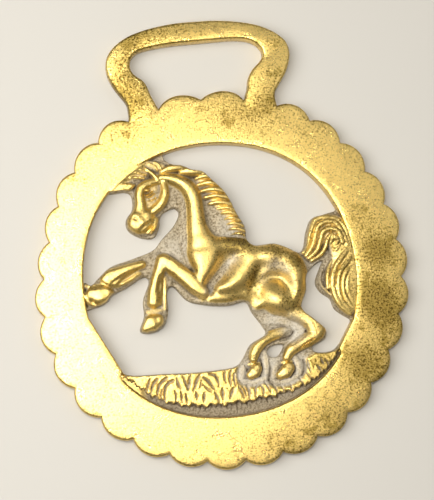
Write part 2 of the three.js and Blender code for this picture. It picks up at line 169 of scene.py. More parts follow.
def polar_edge(outline):
    """A function that gives an outline's distance from the middle at any angle."""
    p = np.vstack([outline, outline[:1]])
    fine = np.vstack([np.linspace(a, b, 12, endpoint=False) for a, b in zip(p, p[1:])])
    turn = np.arctan2(fine[:, 1], fine[:, 0])
    order = np.argsort(turn)
    reach = np.hypot(*fine[order].T)
    return lambda angle: np.interp(angle, turn[order], reach, period=2 * math.pi)


window_edge = polar_edge(WINDOW)
print("window edge towards the hanger:", round(float(window_edge(math.pi / 2)), 2), "mm out")

# %% Spin the cross-section
INNER_ROUND = 0.3
# The metal this near an edge keeps its cross-section, and only what lies between is stretched.
OUTER_BAND, INNER_BAND = 0.8, 0.5
FACE_CUTS = 9
# The face falls off by this much from this radius out to the edge.
DISHING, DISHING_START = 0.16, 30


def mesh_points(bm):
    return np.array([v.co for v in bm.verts])


def move_points(bm, points):
    for vert, point in zip(bm.verts, points):
        vert.co = point


ring = bmesh.new()
SECTION = ((WINDOW_RADIUS, 0), (RIM_RADIUS, 0), (RIM_RADIUS, RIM_THICKNESS), (WINDOW_RADIUS, RIM_THICKNESS))
corners = [ring.verts.new((out, 0, up)) for out, up in SECTION]
for a, b in zip(corners, corners[1:] + corners[:1]):
    ring.edges.new((a, b))
for pair, rounding, segments in ((corners[1:3], EDGE_ROUND, 5), ([corners[0], corners[3]], INNER_ROUND, 3)):
    bmesh.ops.bevel(
        ring, geom=pair, offset=rounding, segments=segments, profile=0.5, affect="VERTICES", material=-1
    )
on_top = [e for e in ring.edges if min(v.co.z for v in e.verts) > RIM_THICKNESS / 2]
bmesh.ops.subdivide_edges(ring, edges=[max(on_top, key=lambda e: e.calc_length())], cuts=FACE_CUTS)
section = list(ring.verts) + list(ring.edges)
print("the cross-section has", len(ring.verts), "points")
bmesh.ops.spin(
    ring, geom=section, cent=(0, 0, 0), axis=(0, 0, 1), angle=2 * math.pi, steps=ANGLES, use_merge=True
)
bmesh.ops.remove_doubles(ring, verts=ring.verts, dist=1e-5)

# %% Move the spun points to the lobes and the window
points = mesh_points(ring)
angle = np.arctan2(points[:, 1], points[:, 0])
spun = np.hypot(points[:, 0], points[:, 1])
inside, outside = RIM_RADIUS - spun, spun - WINDOW_RADIUS
outer = lobe_edge(angle) - np.minimum(inside, OUTER_BAND)
angle = lobe_turn(angle)
inner = window_edge(angle) + np.minimum(outside, INNER_BAND)
stretched = RIM_RADIUS - WINDOW_RADIUS - OUTER_BAND - INNER_BAND
share = np.clip((outside - INNER_BAND) / stretched, 0, 1)
radius = inner + (outer - inner) * share
points[:, 0], points[:, 1] = radius * np.cos(angle), radius * np.sin(angle)
on_face = points[:, 2] > RIM_THICKNESS - EDGE_ROUND
fall = np.clip((radius - DISHING_START) / (RIM_RADIUS - DISHING_START), 0, 1)
points[:, 2] -= np.where(on_face, DISHING * fall**2, 0)
move_points(ring, points)
bmesh.ops.recalc_face_normals(ring, faces=ring.faces)
print("the ring has", len(ring.faces), "faces and is", round(max(radius) * 2, 2), "mm across")

# %% [markdown]
# ## The strap hanger
# The hanger is a wide bar on two waisted legs, a little heavier on its right, and the strap passes
# through its slot. It is one flat plate with rounded corners, so its outline is drawn, filled with one
# face, extruded and bevelled along its edges. Its feet run on inside the ring, and it is a hair thinner
# than the ring, so that no two faces lie in one plane when the two are joined later.

# %% The hanger's outline and its slot
HANGER_OUTER = [[-14.9, 33], [-14.8, 35.6], [-15, 37.1], [-16, 38.8], [-17.1, 40.6], [-18, 42.7],
                [-18.3, 44.8], [-17.8, 47], [-16.1, 49], [-13.5, 50.6], [-10.4, 51.6], [-7.2, 52.2],
                [-3.2, HANGER_TOP], [0.8, HANGER_TOP], [5.4, 52.4], [10.4, 51.6], [14, 50.5], [17, 48.8],
                [18.9, 46.8], [19.4, 44.9], [19.1, 42.8], [18, 40.3], [16.4, 38.1], [15.4, 36.6],
                [15.2, 35.2], [15.5, 33]]
HANGER_THICKNESS = RIM_THICKNESS - 0.06
SLOT_LEFT = [[-8.8, 33], [-8.8, 35], [-9.4, 36.8], [-10.1, 38.6], [-10.5, 40.1], [-11.2, 41.4],
             [-12.9, 42.9], [-13.5, 44.5], [-13.1, 46.1], [-11.6, 47.4], [-8, 48.1], [-4, SLOT_TOP]]
SLOT_RIGHT = [[8.8, 33], [8.8, 35], [9.4, 36.8], [9.9, 38], [10.2, 39.5], [10.7, 40.7], [11.5, 41.8],
              [12.8, 42.9], [13.8, 44.2], [13.8, 45.5], [12.9, 46.8], [11.2, 47.8], [8.4, 48.3],
              [4, SLOT_TOP]]


def slab(outline, low, high):
    """A closed plate with straight sides, from an outline in plan."""
    bm = bmesh.new()
    face = bm.faces.new([bm.verts.new((x, y, low)) for x, y in outline])
    grown = bmesh.ops.extrude_face_region(bm, geom=[face])
    tops = [g for g in grown["geom"] if isinstance(g, bmesh.types.BMVert)]
    bmesh.ops.translate(bm, verts=tops, vec=(0, 0, high - low))
    bmesh.ops.recalc_face_normals(bm, faces=bm.faces)
    return bm


outer, right, left = (smooth_line(knots, 3) for knots in (HANGER_OUTER, SLOT_RIGHT, SLOT_LEFT))
hanger = slab(np.vstack([outer, right, left[::-1]]), 0, HANGER_THICKNESS)
rims = [e for e in hanger.edges if abs(e.verts[0].co.z - e.verts[1].co.z) < 1e-6]
bmesh.ops.bevel(hanger, geom=rims, offset=EDGE_ROUND, segments=5, profile=0.5, affect="EDGES", material=-1)
print("the hanger has", len(hanger.faces), "faces")

# %% [markdown]
# ## The relief as a field of heights
# The horse, its tail and the grass are low relief: seen from above, no part of it hides another. Such a
# surface is one height for every place in the window, so it could be sculpted by hand, built from many
# overlapping solids, or worked out as a field of heights. The field is used, because rounded strokes then
# melt into each other like wax and chisel cuts are simply taken off. The grid is finer than the smallest
# lock of the mane, and the web is the low plate that carries the forms. How a stroke's top is rounded
# matters on a bright metal: a flat top with steep sides shines as a broad band, and a round one as a thin
# line. So each group of strokes says how far it melts into the others, how round its shoulders are and
# how flat its top is.

# %% The grid and the web
PITCH = 0.16
WEB = 1.8
REACH_X, REACH_Y = 29.6, 29.2
x_axis = np.arange(-REACH_X, REACH_X + PITCH, PITCH)
y_axis = np.arange(-REACH_Y, REACH_Y + PITCH, PITCH)
grid_x, grid_y = np.meshgrid(x_axis, y_axis)
height = np.full(grid_x.shape, WEB)
print("the field has", grid_x.shape[1], "by", grid_x.shape[0], "places")


# %% Distances to drawn lines
def patch_round(line, margin):
    """The part of the grid that lies near a line."""
    (x0, y0), (x1, y1) = line[:, :2].min(0) - margin, line[:, :2].max(0) + margin
    i0, i1 = np.searchsorted(x_axis, [x0, x1])
    j0, j1 = np.searchsorted(y_axis, [y0, y1])
    return np.s_[j0 : j1 + 1, i0 : i1 + 1]


def nearest(line, gx, gy):
    """Distance from each place to a line, and what the line's other columns say there."""
    best = np.full(gx.shape, 1e9)
    carried = [np.zeros(gx.shape) for _ in line[0][2:]]
    for a, b in zip(line[:-1], line[1:]):
        dx, dy = b[:2] - a[:2]
        t = np.clip(((gx - a[0]) * dx + (gy - a[1]) * dy) / max(dx * dx + dy * dy, 1e-9), 0, 1)
        distance = np.hypot(gx - a[0] - t * dx, gy - a[1] - t * dy)
        near = distance < best
        best[near] = distance[near]
        for values, start, end in zip(carried, a[2:], b[2:]):
            values[near] = (start + t * (end - start))[near]
    return best, carried


def depth_inside(outline, gx=grid_x, gy=grid_y):
    """Distance to a closed outline, above zero inside it and below zero outside."""
    p = np.vstack([outline, outline[:1]])[:, :2]
    within = np.zeros(gx.shape, bool)
    for (x1, y1), (x2, y2) in zip(p, p[1:]):
        if y1 != y2:
            within ^= ((y1 > gy) != (y2 > gy)) & (gx < (x2 - x1) * (gy - y1) / (y2 - y1) + x1)
    distance, _ = nearest(p, gx, gy)
    return np.where(within, distance, -distance)


from_edge = depth_inside(WINDOW)
print("the window's middle is", round(float(from_edge.max()), 1), "mm from its edge")


# %% Laying a stroke of wax and taking a chisel cut
def smooth_max(a, b, blend):
    h = np.clip(blend - np.abs(a - b), 0, None) / blend
    return np.maximum(a, b) + h * h * blend / 4


THINNEST = 0.05
STROKE_MARGIN, CUT_MARGIN = 0.6, 0.2
CUT_ROUNDNESS = 1.2


def lay(field, strokes, blend, roundness, flatness=2.6, base=WEB, wider=1):
    """Lays rounded strokes. A knot is [x, y, half width, height above the base]."""
    for knots in strokes:
        line = smooth_line([[x, y, wider * half_width, crown] for x, y, half_width, crown in knots])
        patch = patch_round(line, line[:, 2].max() + STROKE_MARGIN)
        distance, (half_width, crown) = nearest(line, grid_x[patch], grid_y[patch])
        t = distance / np.maximum(half_width, THINNEST)
        # Outside the stroke its form goes on down, so that blending doesn't lift the metal round it.
        form = np.where(t < 1, np.clip(1 - t**flatness, 0, None) ** roundness, 2 * (1 - t))
        field[patch] = smooth_max(field[patch], base + crown * form, blend)


def cut(field, strokes, wider=1, deeper=1):
    """Takes chisel cuts. A knot is [x, y, half width, depth]."""
    for knots in strokes:
        line = smooth_line([[x, y, wider * half_width, deeper * depth] for x, y, half_width, depth in knots])
        patch = patch_round(line, line[:, 2].max() + CUT_MARGIN)
        distance, (half_width, depth) = nearest(line, grid_x[patch], grid_y[patch])
        t = np.clip(distance / np.maximum(half_width, THINNEST), 0, 1)
        field[patch] -= depth * (1 - t * t) ** CUT_ROUNDNESS


trial = np.full(grid_x.shape, WEB)
lay(trial, [[[-1, 0, 1, 1], [1, 0, 1, 1]]], 0.3, 0.7)
print("a trial stroke 2 mm wide is", round(trial.max() - WEB, 2), "mm high")


# %% Soften the field
def blurred(field, radius):
    """Each place's average with its neighbours, some millimetres round it."""
    steps = max(1, round(radius / PITCH))
    weights = np.hanning(2 * steps + 3)[1:-1]
    weights /= weights.sum()
    for axis in (0, 1):
        pad = [(steps, steps) if a == axis else (0, 0) for a in (0, 1)]
        padded = np.pad(field, pad, "edge")
        views = [np.take(padded, range(i, i + field.shape[axis]), axis) for i in range(len(weights))]
        field = sum(w * view for w, view in zip(weights, views))
    return field


print("softened by 1 mm, the trial stroke is", round(blurred(trial, 1).max() - WEB, 2), "mm high")

# %% [markdown]
# ## The horse's body
# A carver blocks out the large masses first: trunk, shoulder, barrel, rump and thigh. Each mass is a wide
# soft stroke, and the strokes melt into each other over about a millimetre, so no seam shows. The neck is
# a rounded crest over a low, rough throat, and the locks of the mane get a higher bed of their own. Then
# the hollows between the muscles are cut back in, and the whole body is softened, as filing and years of
# rubbing soften a pattern. Everything smaller comes later, so that it stays crisp.

# %% Body, neck and shoulder strokes
BODY_SOFTNESS = 0.8
LOW_PLATES = [
    # throat and chest
    [[-8.8, 19.6, 1.2, 0.4], [-6.8, 16, 1.9, 0.45], [-6.8, 12, 2.3, 0.5], [-9, 8, 2.6, 0.5],
     [-8.6, 4.6, 2.8, 0.55], [-6.6, 1, 2, 0.6]],
    # bed of the mane
    [[-1.8, 18.6, 1.4, 0.6], [0.2, 15.6, 2.2, 0.6], [1.4, 11.8, 2.9, 0.55], [2.2, 8.8, 3.2, 0.5]],
    # a higher bed under the locks of the mane
    [[-1.8, 20.4, 1.3, 1.1], [-0.2, 18.6, 2, 1.2], [0.6, 16.4, 2.2, 1.2], [2.3, 14.2, 1.5, 1.0],
     [3.4, 12, 1.3, 0.9], [4, 9.2, 1.4, 0.8]],
    # the whole trunk, from the chest to the thigh
    [[-4.8, 4.6, 3, 1.1], [-1.6, 2.4, 4.6, 1.2], [3.2, 1, 5.4, 1.4], [8.2, 0, 6, 1.8],
     [11.4, -2.4, 5.4, 1.9]],
]
TRUNK = [
    # withers and back
    [[-2, 6.4, 2.2, 1.9], [1.5, 6.1, 2.4, 1.9], [4.4, 5.3, 2.6, 1.9], [7, 4, 2.9, 2.0],
     [9.6, 3.4, 2.9, 2.3]],
    # rump
    [[9, 3.1, 2.7, 2.3], [11.6, 2.7, 2.9, 2.6], [13.6, 1.3, 3, 2.8], [14.4, -0.6, 2.9, 2.8],
     [14.2, -2.8, 2.7, 2.7], [13.6, -4.8, 2.5, 2.6], [13, -6.6, 2.2, 2.4]],
    # barrel
    [[-1.1, -2.1, 1.3, 2.1], [0.6, -1.8, 2.1, 2.5], [2.6, -0.8, 2.8, 2.6], [4.4, 1, 2.9, 2.5],
     [6, 3, 2.5, 2.3]],
    # belly
    [[-5, -3.4, 1.3, 1.3], [0, -3.9, 1.5, 1.4], [4, -3.7, 1.5, 1.5], [6.2, -6, 1.6, 1.5]],
    # thigh
    [[9.7, -5.2, 3.2, 2.9], [10.4, -5.8, 3.2, 2.9]],
    [[10.4, -6, 2.8, 2.7], [11.8, -7.2, 2.4, 2.5], [12.6, -8.2, 1.8, 2.1]],
]
NECK = [
    [[-10.6, 21.4, 0.8, 1.3], [-9.2, 21.3, 1.1, 1.7], [-6.9, 20.5, 1.4, 1.9], [-5.2, 19.2, 1.6, 2.1],
     [-4.2, 17.4, 1.7, 2.2], [-3.9, 15.5, 1.7, 2.2], [-3.9, 12.8, 1.8, 2.2], [-3.9, 10.4, 2.1, 2.2],
     [-3.5, 8.2, 2.8, 2.2]],
]
SHOULDER = [
    [[-3.2, 6.9, 3.2, 2.3], [-3, 5.6, 3.8, 2.7], [-3.3, 4, 3.2, 2.8], [-3.7, 2.2, 2.4, 2.8],
     [-4.4, 0.6, 1.8, 2.6], [-4.8, -1, 1.3, 2.3], [-4.9, -2.6, 1.0, 2.0]],
]
HOLLOWS = [
    # flank hollow behind the shoulder, and the crease under the withers
    [[3, 4.2, 0.9, 0.3], [1.7, 3, 1.5, 0.7], [0, 1.3, 1.6, 0.9], [-1.8, -0.2, 1.5, 0.9],
     [-3.1, -1.8, 1.3, 0.7], [-4, -3.6, 1, 0.5]],
    [[-0.4, 5, 0.8, 0.3], [2.2, 4.5, 0.9, 0.4], [4.2, 4.2, 0.7, 0.1]],
    # before the thigh, then round it and inside the rump
    [[8.4, 1.6, 1.1, 0.2], [7.2, 0, 1.2, 0.5], [6.2, -1.8, 1.2, 0.6], [5.2, -3.8, 1.0, 0.5],
     [5.6, -6, 0.9, 0.4]],
    [[6.4, -4.6, 0.8, 0.4], [7.4, -2.2, 1.0, 0.7], [9.4, -1, 1.3, 1.0], [11.6, -1.5, 1.3, 1.0],
     [12.9, -3.4, 1.1, 0.7], [13, -5.4, 0.7, 0.2]],
    # either side of the crest
    [[-6.6, 18.2, 0.7, 0.2], [-6.4, 15.6, 0.9, 0.3], [-6.8, 12.6, 1.0, 0.3], [-8, 9.4, 1.2, 0.3]],
    [[-1.6, 19.4, 0.8, 0.4], [-1.2, 16.4, 1.1, 0.5], [-0.9, 12.6, 1.1, 0.5], [-0.4, 9.9, 1.0, 0.5]],
    [[-1, 9.2, 0.8, 0.4], [1.4, 8.7, 0.8, 0.5], [4.4, 8, 0.6, 0.4]],
]
lay(height, LOW_PLATES, blend=0.5, roundness=0.6)
lay(height, TRUNK, blend=1.3, roundness=0.8, flatness=2.2)
lay(height, NECK, blend=0.8, roundness=0.5, flatness=3.2)
lay(height, SHOULDER, blend=0.9, roundness=0.5, flatness=3.2)
cut(height, HOLLOWS)
height = blurred(height, BODY_SOFTNESS)
print("the body rises", round(height.max() - WEB, 2), "mm above the web")

# %% [markdown]
# ## The head
# The head is only 13 mm long, so it is built from bands: the face from brow to muzzle, the jaw, a hollow
# cheek between them, then the chin. The eye, nostril, folds and lips come later, as small strokes and
# cuts, so that nothing laid afterwards buries them and no softening blurs them.

# %% Head strokes
HEAD = [
    # face
    [[-10.8, 20.7, 0.7, 1.4], [-12.6, 20.5, 0.9, 1.6], [-14, 19.8, 1.0, 1.8], [-14.7, 18.3, 1.0, 1.8],
     [-14.7, 16.6, 1.1, 1.8], [-14.9, 15, 1.5, 1.8]],
    # muzzle
    [[-14.4, 13.6, 2.2, 2.0], [-15.2, 13.1, 2.6, 2.2], [-15.6, 12.7, 2.3, 2.1]],
    # jaw
    [[-9.7, 20.2, 0.7, 1.3], [-9.5, 19, 0.85, 1.6], [-9.8, 17.4, 1.0, 1.7], [-10.8, 15.9, 1.0, 1.7],
     [-12.2, 14.9, 1.0, 1.5]],
    # hollow cheek
    [[-12.2, 19.6, 1.9, 0.8], [-12.6, 17.2, 2.0, 0.7], [-13, 15, 1.6, 0.9]],
    # chin
    [[-15.8, 11.5, 0.8, 0.9], [-14.2, 11, 0.9, 0.9], [-12.8, 11.6, 0.9, 1.0], [-12.2, 13, 0.9, 1.1]],
]
FACE_DETAIL = [
    # brow over the eye, lower lid, eyeball
    [[-14.1, 18.9, 0.28, 1.4], [-13.4, 19.8, 0.35, 1.8], [-12.2, 20, 0.3, 1.5]],
    [[-13.8, 18.2, 0.22, 1.2], [-12.9, 18.2, 0.28, 1.5], [-12, 18.8, 0.22, 1.3]],
    [[-13.3, 19, 0.42, 1.7], [-12.8, 19.15, 0.42, 1.7]],
    # folds of the cheek
    [[-13.8, 17.7, 0.2, 0.9], [-12.8, 17.7, 0.25, 1.1], [-11.6, 18.3, 0.2, 1.0]],
    [[-13.6, 16.8, 0.2, 0.8], [-12.6, 16.9, 0.25, 1.0], [-11.4, 17.4, 0.2, 0.9]],
    # lips
    [[-14.2, 11.3, 0.25, 1.2], [-13.5, 11.9, 0.3, 1.4], [-12.8, 12.7, 0.25, 1.3]],
    [[-13.9, 10.5, 0.22, 1.0], [-13.2, 11.2, 0.25, 1.3], [-12.6, 11.9, 0.22, 1.2]],
    [[-13.3, 10.4, 0.25, 1.0], [-12.6, 11.1, 0.28, 1.3], [-12.3, 12, 0.25, 1.2]],
]
lay(height, HEAD, blend=0.3, roundness=0.45, flatness=3.2)
print(len(HEAD), "strokes make the head, and", len(FACE_DETAIL), "wait for later")

# %% [markdown]
# ## Legs
# The fore legs are flat bands with a second, narrow ridge for the tendon behind each cannon bone. The
# legs cross the pierced gaps, so a low bed joins each one to the web. The hind legs are laid after the
# grass, because the hooves stand in it. Then the narrow valleys are cut: both sides of the forearm, the
# fetlocks, the mouth and a nostril. They and the legs are softened lightly, and the small forms of the
# face are laid last.

# %% Fore leg strokes
FORE_LEGS = [
    # near forearm and knee
    [[-4.6, -2.4, 1.2, 2.4], [-5.6, -1.4, 1.5, 2.5], [-7, 0.4, 1.6, 2.5], [-8.8, 2.2, 1.55, 2.4],
     [-10.4, 3.8, 1.45, 2.4], [-11.5, 4.8, 1.2, 2.2]],
    # near cannon, its two ridges behind, and the bed under the leg
    [[-11.6, 4.7, 1.25, 2.2], [-12.3, 3.2, 1.1, 2.1], [-13.3, 1.2, 1.0, 2.0], [-14.1, -1, 1.05, 2.0],
     [-14.5, -3.4, 1.15, 1.9]],
    [[-12.4, 1.4, 0.35, 1.2], [-12.7, -0.6, 0.42, 1.3], [-13.3, -3.8, 0.4, 1.2]],
    [[-11.6, 1.2, 0.3, 0.9], [-11.9, -1.6, 0.35, 1.0], [-12.3, -5, 0.3, 0.9]],
    [[-11, 4.4, 1.9, 0.6], [-12.4, 0.6, 2, 0.6], [-13.8, -4.4, 2, 0.6]],
    # pastern and near hoof
    [[-16, -5.1, 0.55, 0.8], [-13.2, -5.1, 0.55, 0.8]],
    [[-14.2, -7, 1.3, 1.7], [-15.2, -7.3, 1.6, 1.9], [-16.6, -8, 1.1, 1.6]],
    [[-13.8, -6.3, 0.5, 1.5], [-16, -6.5, 0.5, 1.6]],
    # bed under the far leg, its cannon and tendon
    [[-13, 4.8, 1.6, 0.5], [-18.6, 2.8, 1.9, 0.5], [-23.2, 1, 1.8, 0.5]],
    [[-15.8, 4.4, 0.7, 1.5], [-18, 3.9, 1.0, 1.7], [-20.4, 3.2, 1.3, 1.8], [-22.2, 2.4, 1.7, 1.8],
     [-23, 1.9, 1.5, 1.7]],
    [[-21.9, 0.5, 0.45, 1.0], [-19, 1.5, 0.5, 1.1], [-16.6, 2.7, 0.45, 1.0]],
    # far hoof and its shoe, against the ring
    [[-26.2, -0.4, 1.3, 1.8], [-25, -0.7, 1.75, 2.0], [-23.8, -0.5, 1.6, 1.9]],
    [[-28.3, 0.9, 0.35, 1.3], [-27.9, -0.7, 0.4, 1.4], [-27, -2.1, 0.4, 1.3], [-25.4, -2.9, 0.35, 1.0]],
    [[-27.4, 1.4, 0.45, 0.9], [-25, 1.2, 0.5, 0.9]],
]
lay(height, FORE_LEGS, blend=0.12, roundness=0.42, flatness=4, wider=1.12)
print(len(FORE_LEGS), "strokes make the fore legs")

# %% Cut the valleys between the muscles
LEG_SOFTNESS = 0.35
VALLEYS = [
    # both sides of the forearm, and the chest's crease
    [[-5.2, -3.8, 0.5, 0.5], [-8, -1.3, 0.6, 0.6], [-10.2, 1.6, 0.5, 0.5]],
    [[-5.8, 1.9, 0.5, 0.4], [-7.8, 3.3, 0.6, 0.5], [-9.8, 5.6, 0.5, 0.5]],
    [[-7.4, 7.4, 0.5, 0.3], [-6.8, 4.6, 0.5, 0.5], [-6, 2.2, 0.4, 0.4]],
    # leaf-shaped hollow of the near shin, the fetlock lines
    [[-12.4, 1.9, 0.25, 0.3], [-13, 0, 0.35, 0.5], [-13.6, -1.6, 0.2, 0.3]],
    [[-15.8, -4.3, 0.3, 0.4], [-13.2, -4.3, 0.3, 0.4]], [[-16.2, -5.9, 0.25, 0.4], [-13, -5.7, 0.25, 0.4]],
    [[-24.6, 2.2, 0.25, 0.5], [-23, 0.7, 0.3, 0.6], [-21.6, 0.1, 0.25, 0.5]],
    [[-22.2, 1.3, 0.25, 0.3], [-20.5, 2.2, 0.3, 0.5], [-18.5, 3, 0.3, 0.5], [-16, 3.6, 0.25, 0.3]],
    # nostril and mouth
    [[-16.2, 13.7, 0.25, 0.6], [-15.9, 13.3, 0.22, 0.5]],
    [[-15.6, 11.1, 0.2, 0.3], [-14.4, 11.9, 0.3, 0.5], [-13.1, 12.7, 0.25, 0.4]],
]
cut(height, VALLEYS)
height = blurred(np.maximum(height, WEB), LEG_SOFTNESS)
lay(height, FACE_DETAIL, blend=0.12, roundness=0.8)
print(len(VALLEYS), "valleys are cut")

# %% [markdown]
# ## Mane, forelock and tail
# Hair is drawn lock by lock. A lock of the mane starts thin beside the crest, swells, arches and droops
# towards the outer edge, and the locks get smaller down the neck. The tail leaves the croup, rises, curls
# over and falls along the ring in long strands. It gets a raised bed too, or its strands would stand up
# like the teeth of a comb.

# %% Hair strokes
TUFTS = [
    # ear
    [[-10.4, 20.4, 0.5, 1.3], [-10.9, 21.3, 0.5, 1.5], [-11.9, 22.6, 0.4, 1.3], [-12.9, 23.6, 0.25, 1.1]],
    # forelock
    [[-17.4, 21.8, 0.5, 0.8], [-15.4, 22.3, 1.0, 0.8], [-13.4, 22.6, 1.3, 0.7]],
    [[-17.4, 21.6, 0.25, 1.0], [-15.6, 22.0, 0.3, 1.05], [-13.4, 21.6, 0.3, 1.1]],
    [[-16.4, 22.5, 0.25, 1.0], [-14.8, 22.8, 0.3, 1.05], [-13, 22.2, 0.3, 1.1]],
    [[-15.2, 23.4, 0.25, 1.0], [-13.9, 23.4, 0.3, 1.05], [-12.6, 22.9, 0.3, 1.1]],
    # tuft behind the ear
    [[-12.4, 24.5, 0.8, 0.8], [-10.6, 23.8, 1.1, 0.8], [-9.6, 23.6, 0.9, 0.8]],
    [[-12, 24.4, 0.25, 1.0], [-11, 23.8, 0.3, 1.1], [-10.5, 22.9, 0.3, 1.1]],
    [[-10.9, 24.6, 0.25, 1.0], [-10.1, 24, 0.3, 1.1], [-9.7, 23, 0.3, 1.1]],
]
MANE_TOP = [
    [[-9.8, 22.5, 0.5, 1.2], [-8, 23, 0.9, 1.6], [-6.2, 23, 0.8, 1.5], [-5.2, 22.6, 0.5, 1.2]],
    [[-5.8, 22.1, 0.6, 1.4], [-4, 22.1, 1.1, 1.9], [-2.4, 21.8, 1.0, 1.8], [-0.8, 21.2, 0.6, 1.4]],
]
# Where each lock starts and ends, its half width and its height.
MANE_LOCKS = [
    ((-3, 20.4), (0.6, 20.2), 0.74, 1.75), ((-2.7, 19.1), (1.7, 18.7), 0.72, 1.75),
    ((-2.2, 17.8), (2.4, 17.2), 0.78, 1.85),
    ((-1.7, 16.4), (3, 15.8), 0.74, 1.85), ((-0.9, 15.1), (3.5, 14.4), 0.66, 1.6),
    ((0.6, 13.9), (4, 13.2), 0.5, 1.45), ((1.3, 12.9), (4.4, 12.2), 0.56, 1.45),
    ((1.8, 11.7), (4.8, 11), 0.45, 1.35), ((2.2, 10.6), (5.2, 9.9), 0.5, 1.3),
    ((2.3, 9.5), (5.5, 8.8), 0.44, 1.2), ((2.6, 8.4), (5.6, 7.9), 0.36, 1.1),
]
TAIL = [
    # outer curl
    [[16.9, 3.2, 0.4, 1.1], [17.9, 5, 0.5, 1.2], [18.7, 7.2, 0.6, 1.4], [19.7, 9, 0.6, 1.3],
     [21.2, 9.8, 0.55, 1.2], [23, 9.6, 0.5, 1.1], [24.6, 9, 0.5, 1.1], [25.9, 7.4, 0.5, 1.2],
     [26.4, 5, 0.5, 1.2], [26.4, 2.6, 0.5, 1.2]],
    [[17.3, 2.5, 0.35, 1.2], [18.8, 4.3, 0.42, 1.4], [19.7, 6.5, 0.45, 1.5], [20.5, 8.1, 0.5, 1.5],
     [22, 8.9, 0.5, 1.5], [23.8, 8.6, 0.5, 1.5], [25, 7.2, 0.45, 1.4], [25.7, 5.2, 0.4, 1.3],
     [25.9, 3.6, 0.4, 1.3]],
    [[17.7, 1.9, 0.35, 1.3], [19.6, 3.4, 0.42, 1.5], [20.6, 5.4, 0.45, 1.6], [21.3, 6.9, 0.5, 1.7],
     [22.6, 7.4, 0.55, 1.7], [24, 7, 0.5, 1.7], [24.8, 5.8, 0.5, 1.6], [25, 4.4, 0.5, 1.5]],
    # inner curl
    [[18.3, 1.4, 0.35, 1.2], [20.2, 2.4, 0.4, 1.3], [21.4, 3.8, 0.4, 1.4], [22.1, 5.4, 0.42, 1.5],
     [23, 6.2, 0.4, 1.5]],
    [[22.6, 4.6, 0.3, 1.1], [23.4, 5.6, 0.5, 1.7], [24.2, 5, 0.5, 1.6], [23.8, 4.2, 0.35, 1.3]],
    [[24.4, 3.9, 0.35, 1.2], [23.4, 3, 0.35, 1.2], [22.8, 3.6, 0.25, 1.0]],
    # falling strands
    [[26.2, 3.2, 0.4, 1.2], [25, 2, 0.5, 1.4], [23.8, 0.7, 0.5, 1.5], [22.7, -0.9, 0.5, 1.5],
     [22, -2.8, 0.55, 1.6], [21.9, -4.8, 0.55, 1.5], [22.4, -7, 0.55, 1.4], [23.4, -8.8, 0.5, 1.2],
     [24.6, -10.1, 0.4, 1.0]],
    [[26.4, 1.6, 0.45, 1.2], [25.3, 0.2, 0.5, 1.4], [24.1, -1, 0.5, 1.5], [23.3, -2.6, 0.45, 1.5],
     [22.95, -4.6, 0.45, 1.5], [23.1, -6.6, 0.45, 1.4], [23.9, -8.2, 0.42, 1.2], [25.1, -9.6, 0.35, 1.0]],
    [[26.4, -0.2, 0.4, 1.1], [25.2, -1.4, 0.4, 1.3], [24.3, -2.8, 0.4, 1.4], [23.9, -4.6, 0.4, 1.4],
     [24.1, -6.4, 0.4, 1.3], [24.8, -7.9, 0.38, 1.1], [25.6, -9, 0.3, 0.9]],
    [[26.2, -1.6, 0.35, 1.0], [25.3, -2.8, 0.38, 1.2], [24.9, -4.4, 0.38, 1.2], [25, -6, 0.35, 1.1],
     [25.6, -7.6, 0.3, 0.9]],
    [[22.4, 0.9, 0.25, 0.8], [21.5, -0.6, 0.3, 1.0], [21, -2.4, 0.35, 1.2], [20.9, -4.4, 0.35, 1.1]],
    [[20.4, -0.6, 0.2, 0.5], [19.6, -2, 0.25, 0.6], [19.6, -3.6, 0.25, 0.7], [20.4, -4.9, 0.25, 0.8],
     [21.4, -6, 0.25, 0.8]],
    # bed
    [[18.4, 4, 1.3, 0.8], [20.4, 6.6, 2.1, 1.05], [22.6, 7.6, 2.4, 1.1], [25, 5.4, 2.6, 1.15],
     [25.6, 1, 2.6, 1.15], [25, -3, 2.8, 1.15], [25, -8, 1.8, 0.95]],
]
LOCK_ARCH = 0.4
lock_strokes = [
    [[x0, y0, wide / 2, 0.7 * high], [(x0 + x1) / 2, (y0 + y1) / 2 + LOCK_ARCH, wide, high],
     [x1, y1, 0.85 * wide, 0.9 * high]]
    for (x0, y0), (x1, y1), wide, high in MANE_LOCKS
]
lay(height, TUFTS + MANE_TOP, blend=0.12, roundness=0.45, flatness=3)
lay(height, lock_strokes, blend=0.12, roundness=0.5, flatness=2.8)
lay(height, TAIL, blend=0.06, roundness=0.4, flatness=3.4, wider=1.3)
print(len(TUFTS + MANE_TOP + MANE_LOCKS), "locks and", len(TAIL), "strands of tail")

# %% [markdown]
# ## Where the head meets the ring
# A short band of plain metal holds the forehead to the ring. Above it the forelock runs straight into the
# ring, with no gap between them, so the ring slopes down softly to the hair there instead of ending in a
# step. The band is an outline with rounded edges, and the slope falls with the distance from the window's
# edge.

# %% The forehead's band and the slope above it
FOREHEAD_BAND = [(-24, 18.2), (-20.3, 19.2), (-17, 19.2), (-15.9, 19.6), (-15, 20.5), (-16, 21),
                 (-18.4, 21.3), (-21, 21.2), (-24, 21)]
BAND_HEIGHT, BAND_ROUND = 1.12, 0.5
SLOPE_MIDDLE, SLOPE_SPREAD = 129, 15  # degrees round the ring
SLOPE_START, SLOPE_FALL = 0.3, 0.45  # mm inside the window, and how much it falls in each one
band = np.clip(depth_inside(FOREHEAD_BAND) / BAND_ROUND, 0, 1)
height = np.maximum(height, WEB + BAND_HEIGHT * (1 - (1 - band) ** 2) ** 0.5)
beside = 1 - np.exp(-(((np.degrees(np.arctan2(grid_y, grid_x)) - SLOPE_MIDDLE) / SLOPE_SPREAD) ** 6))
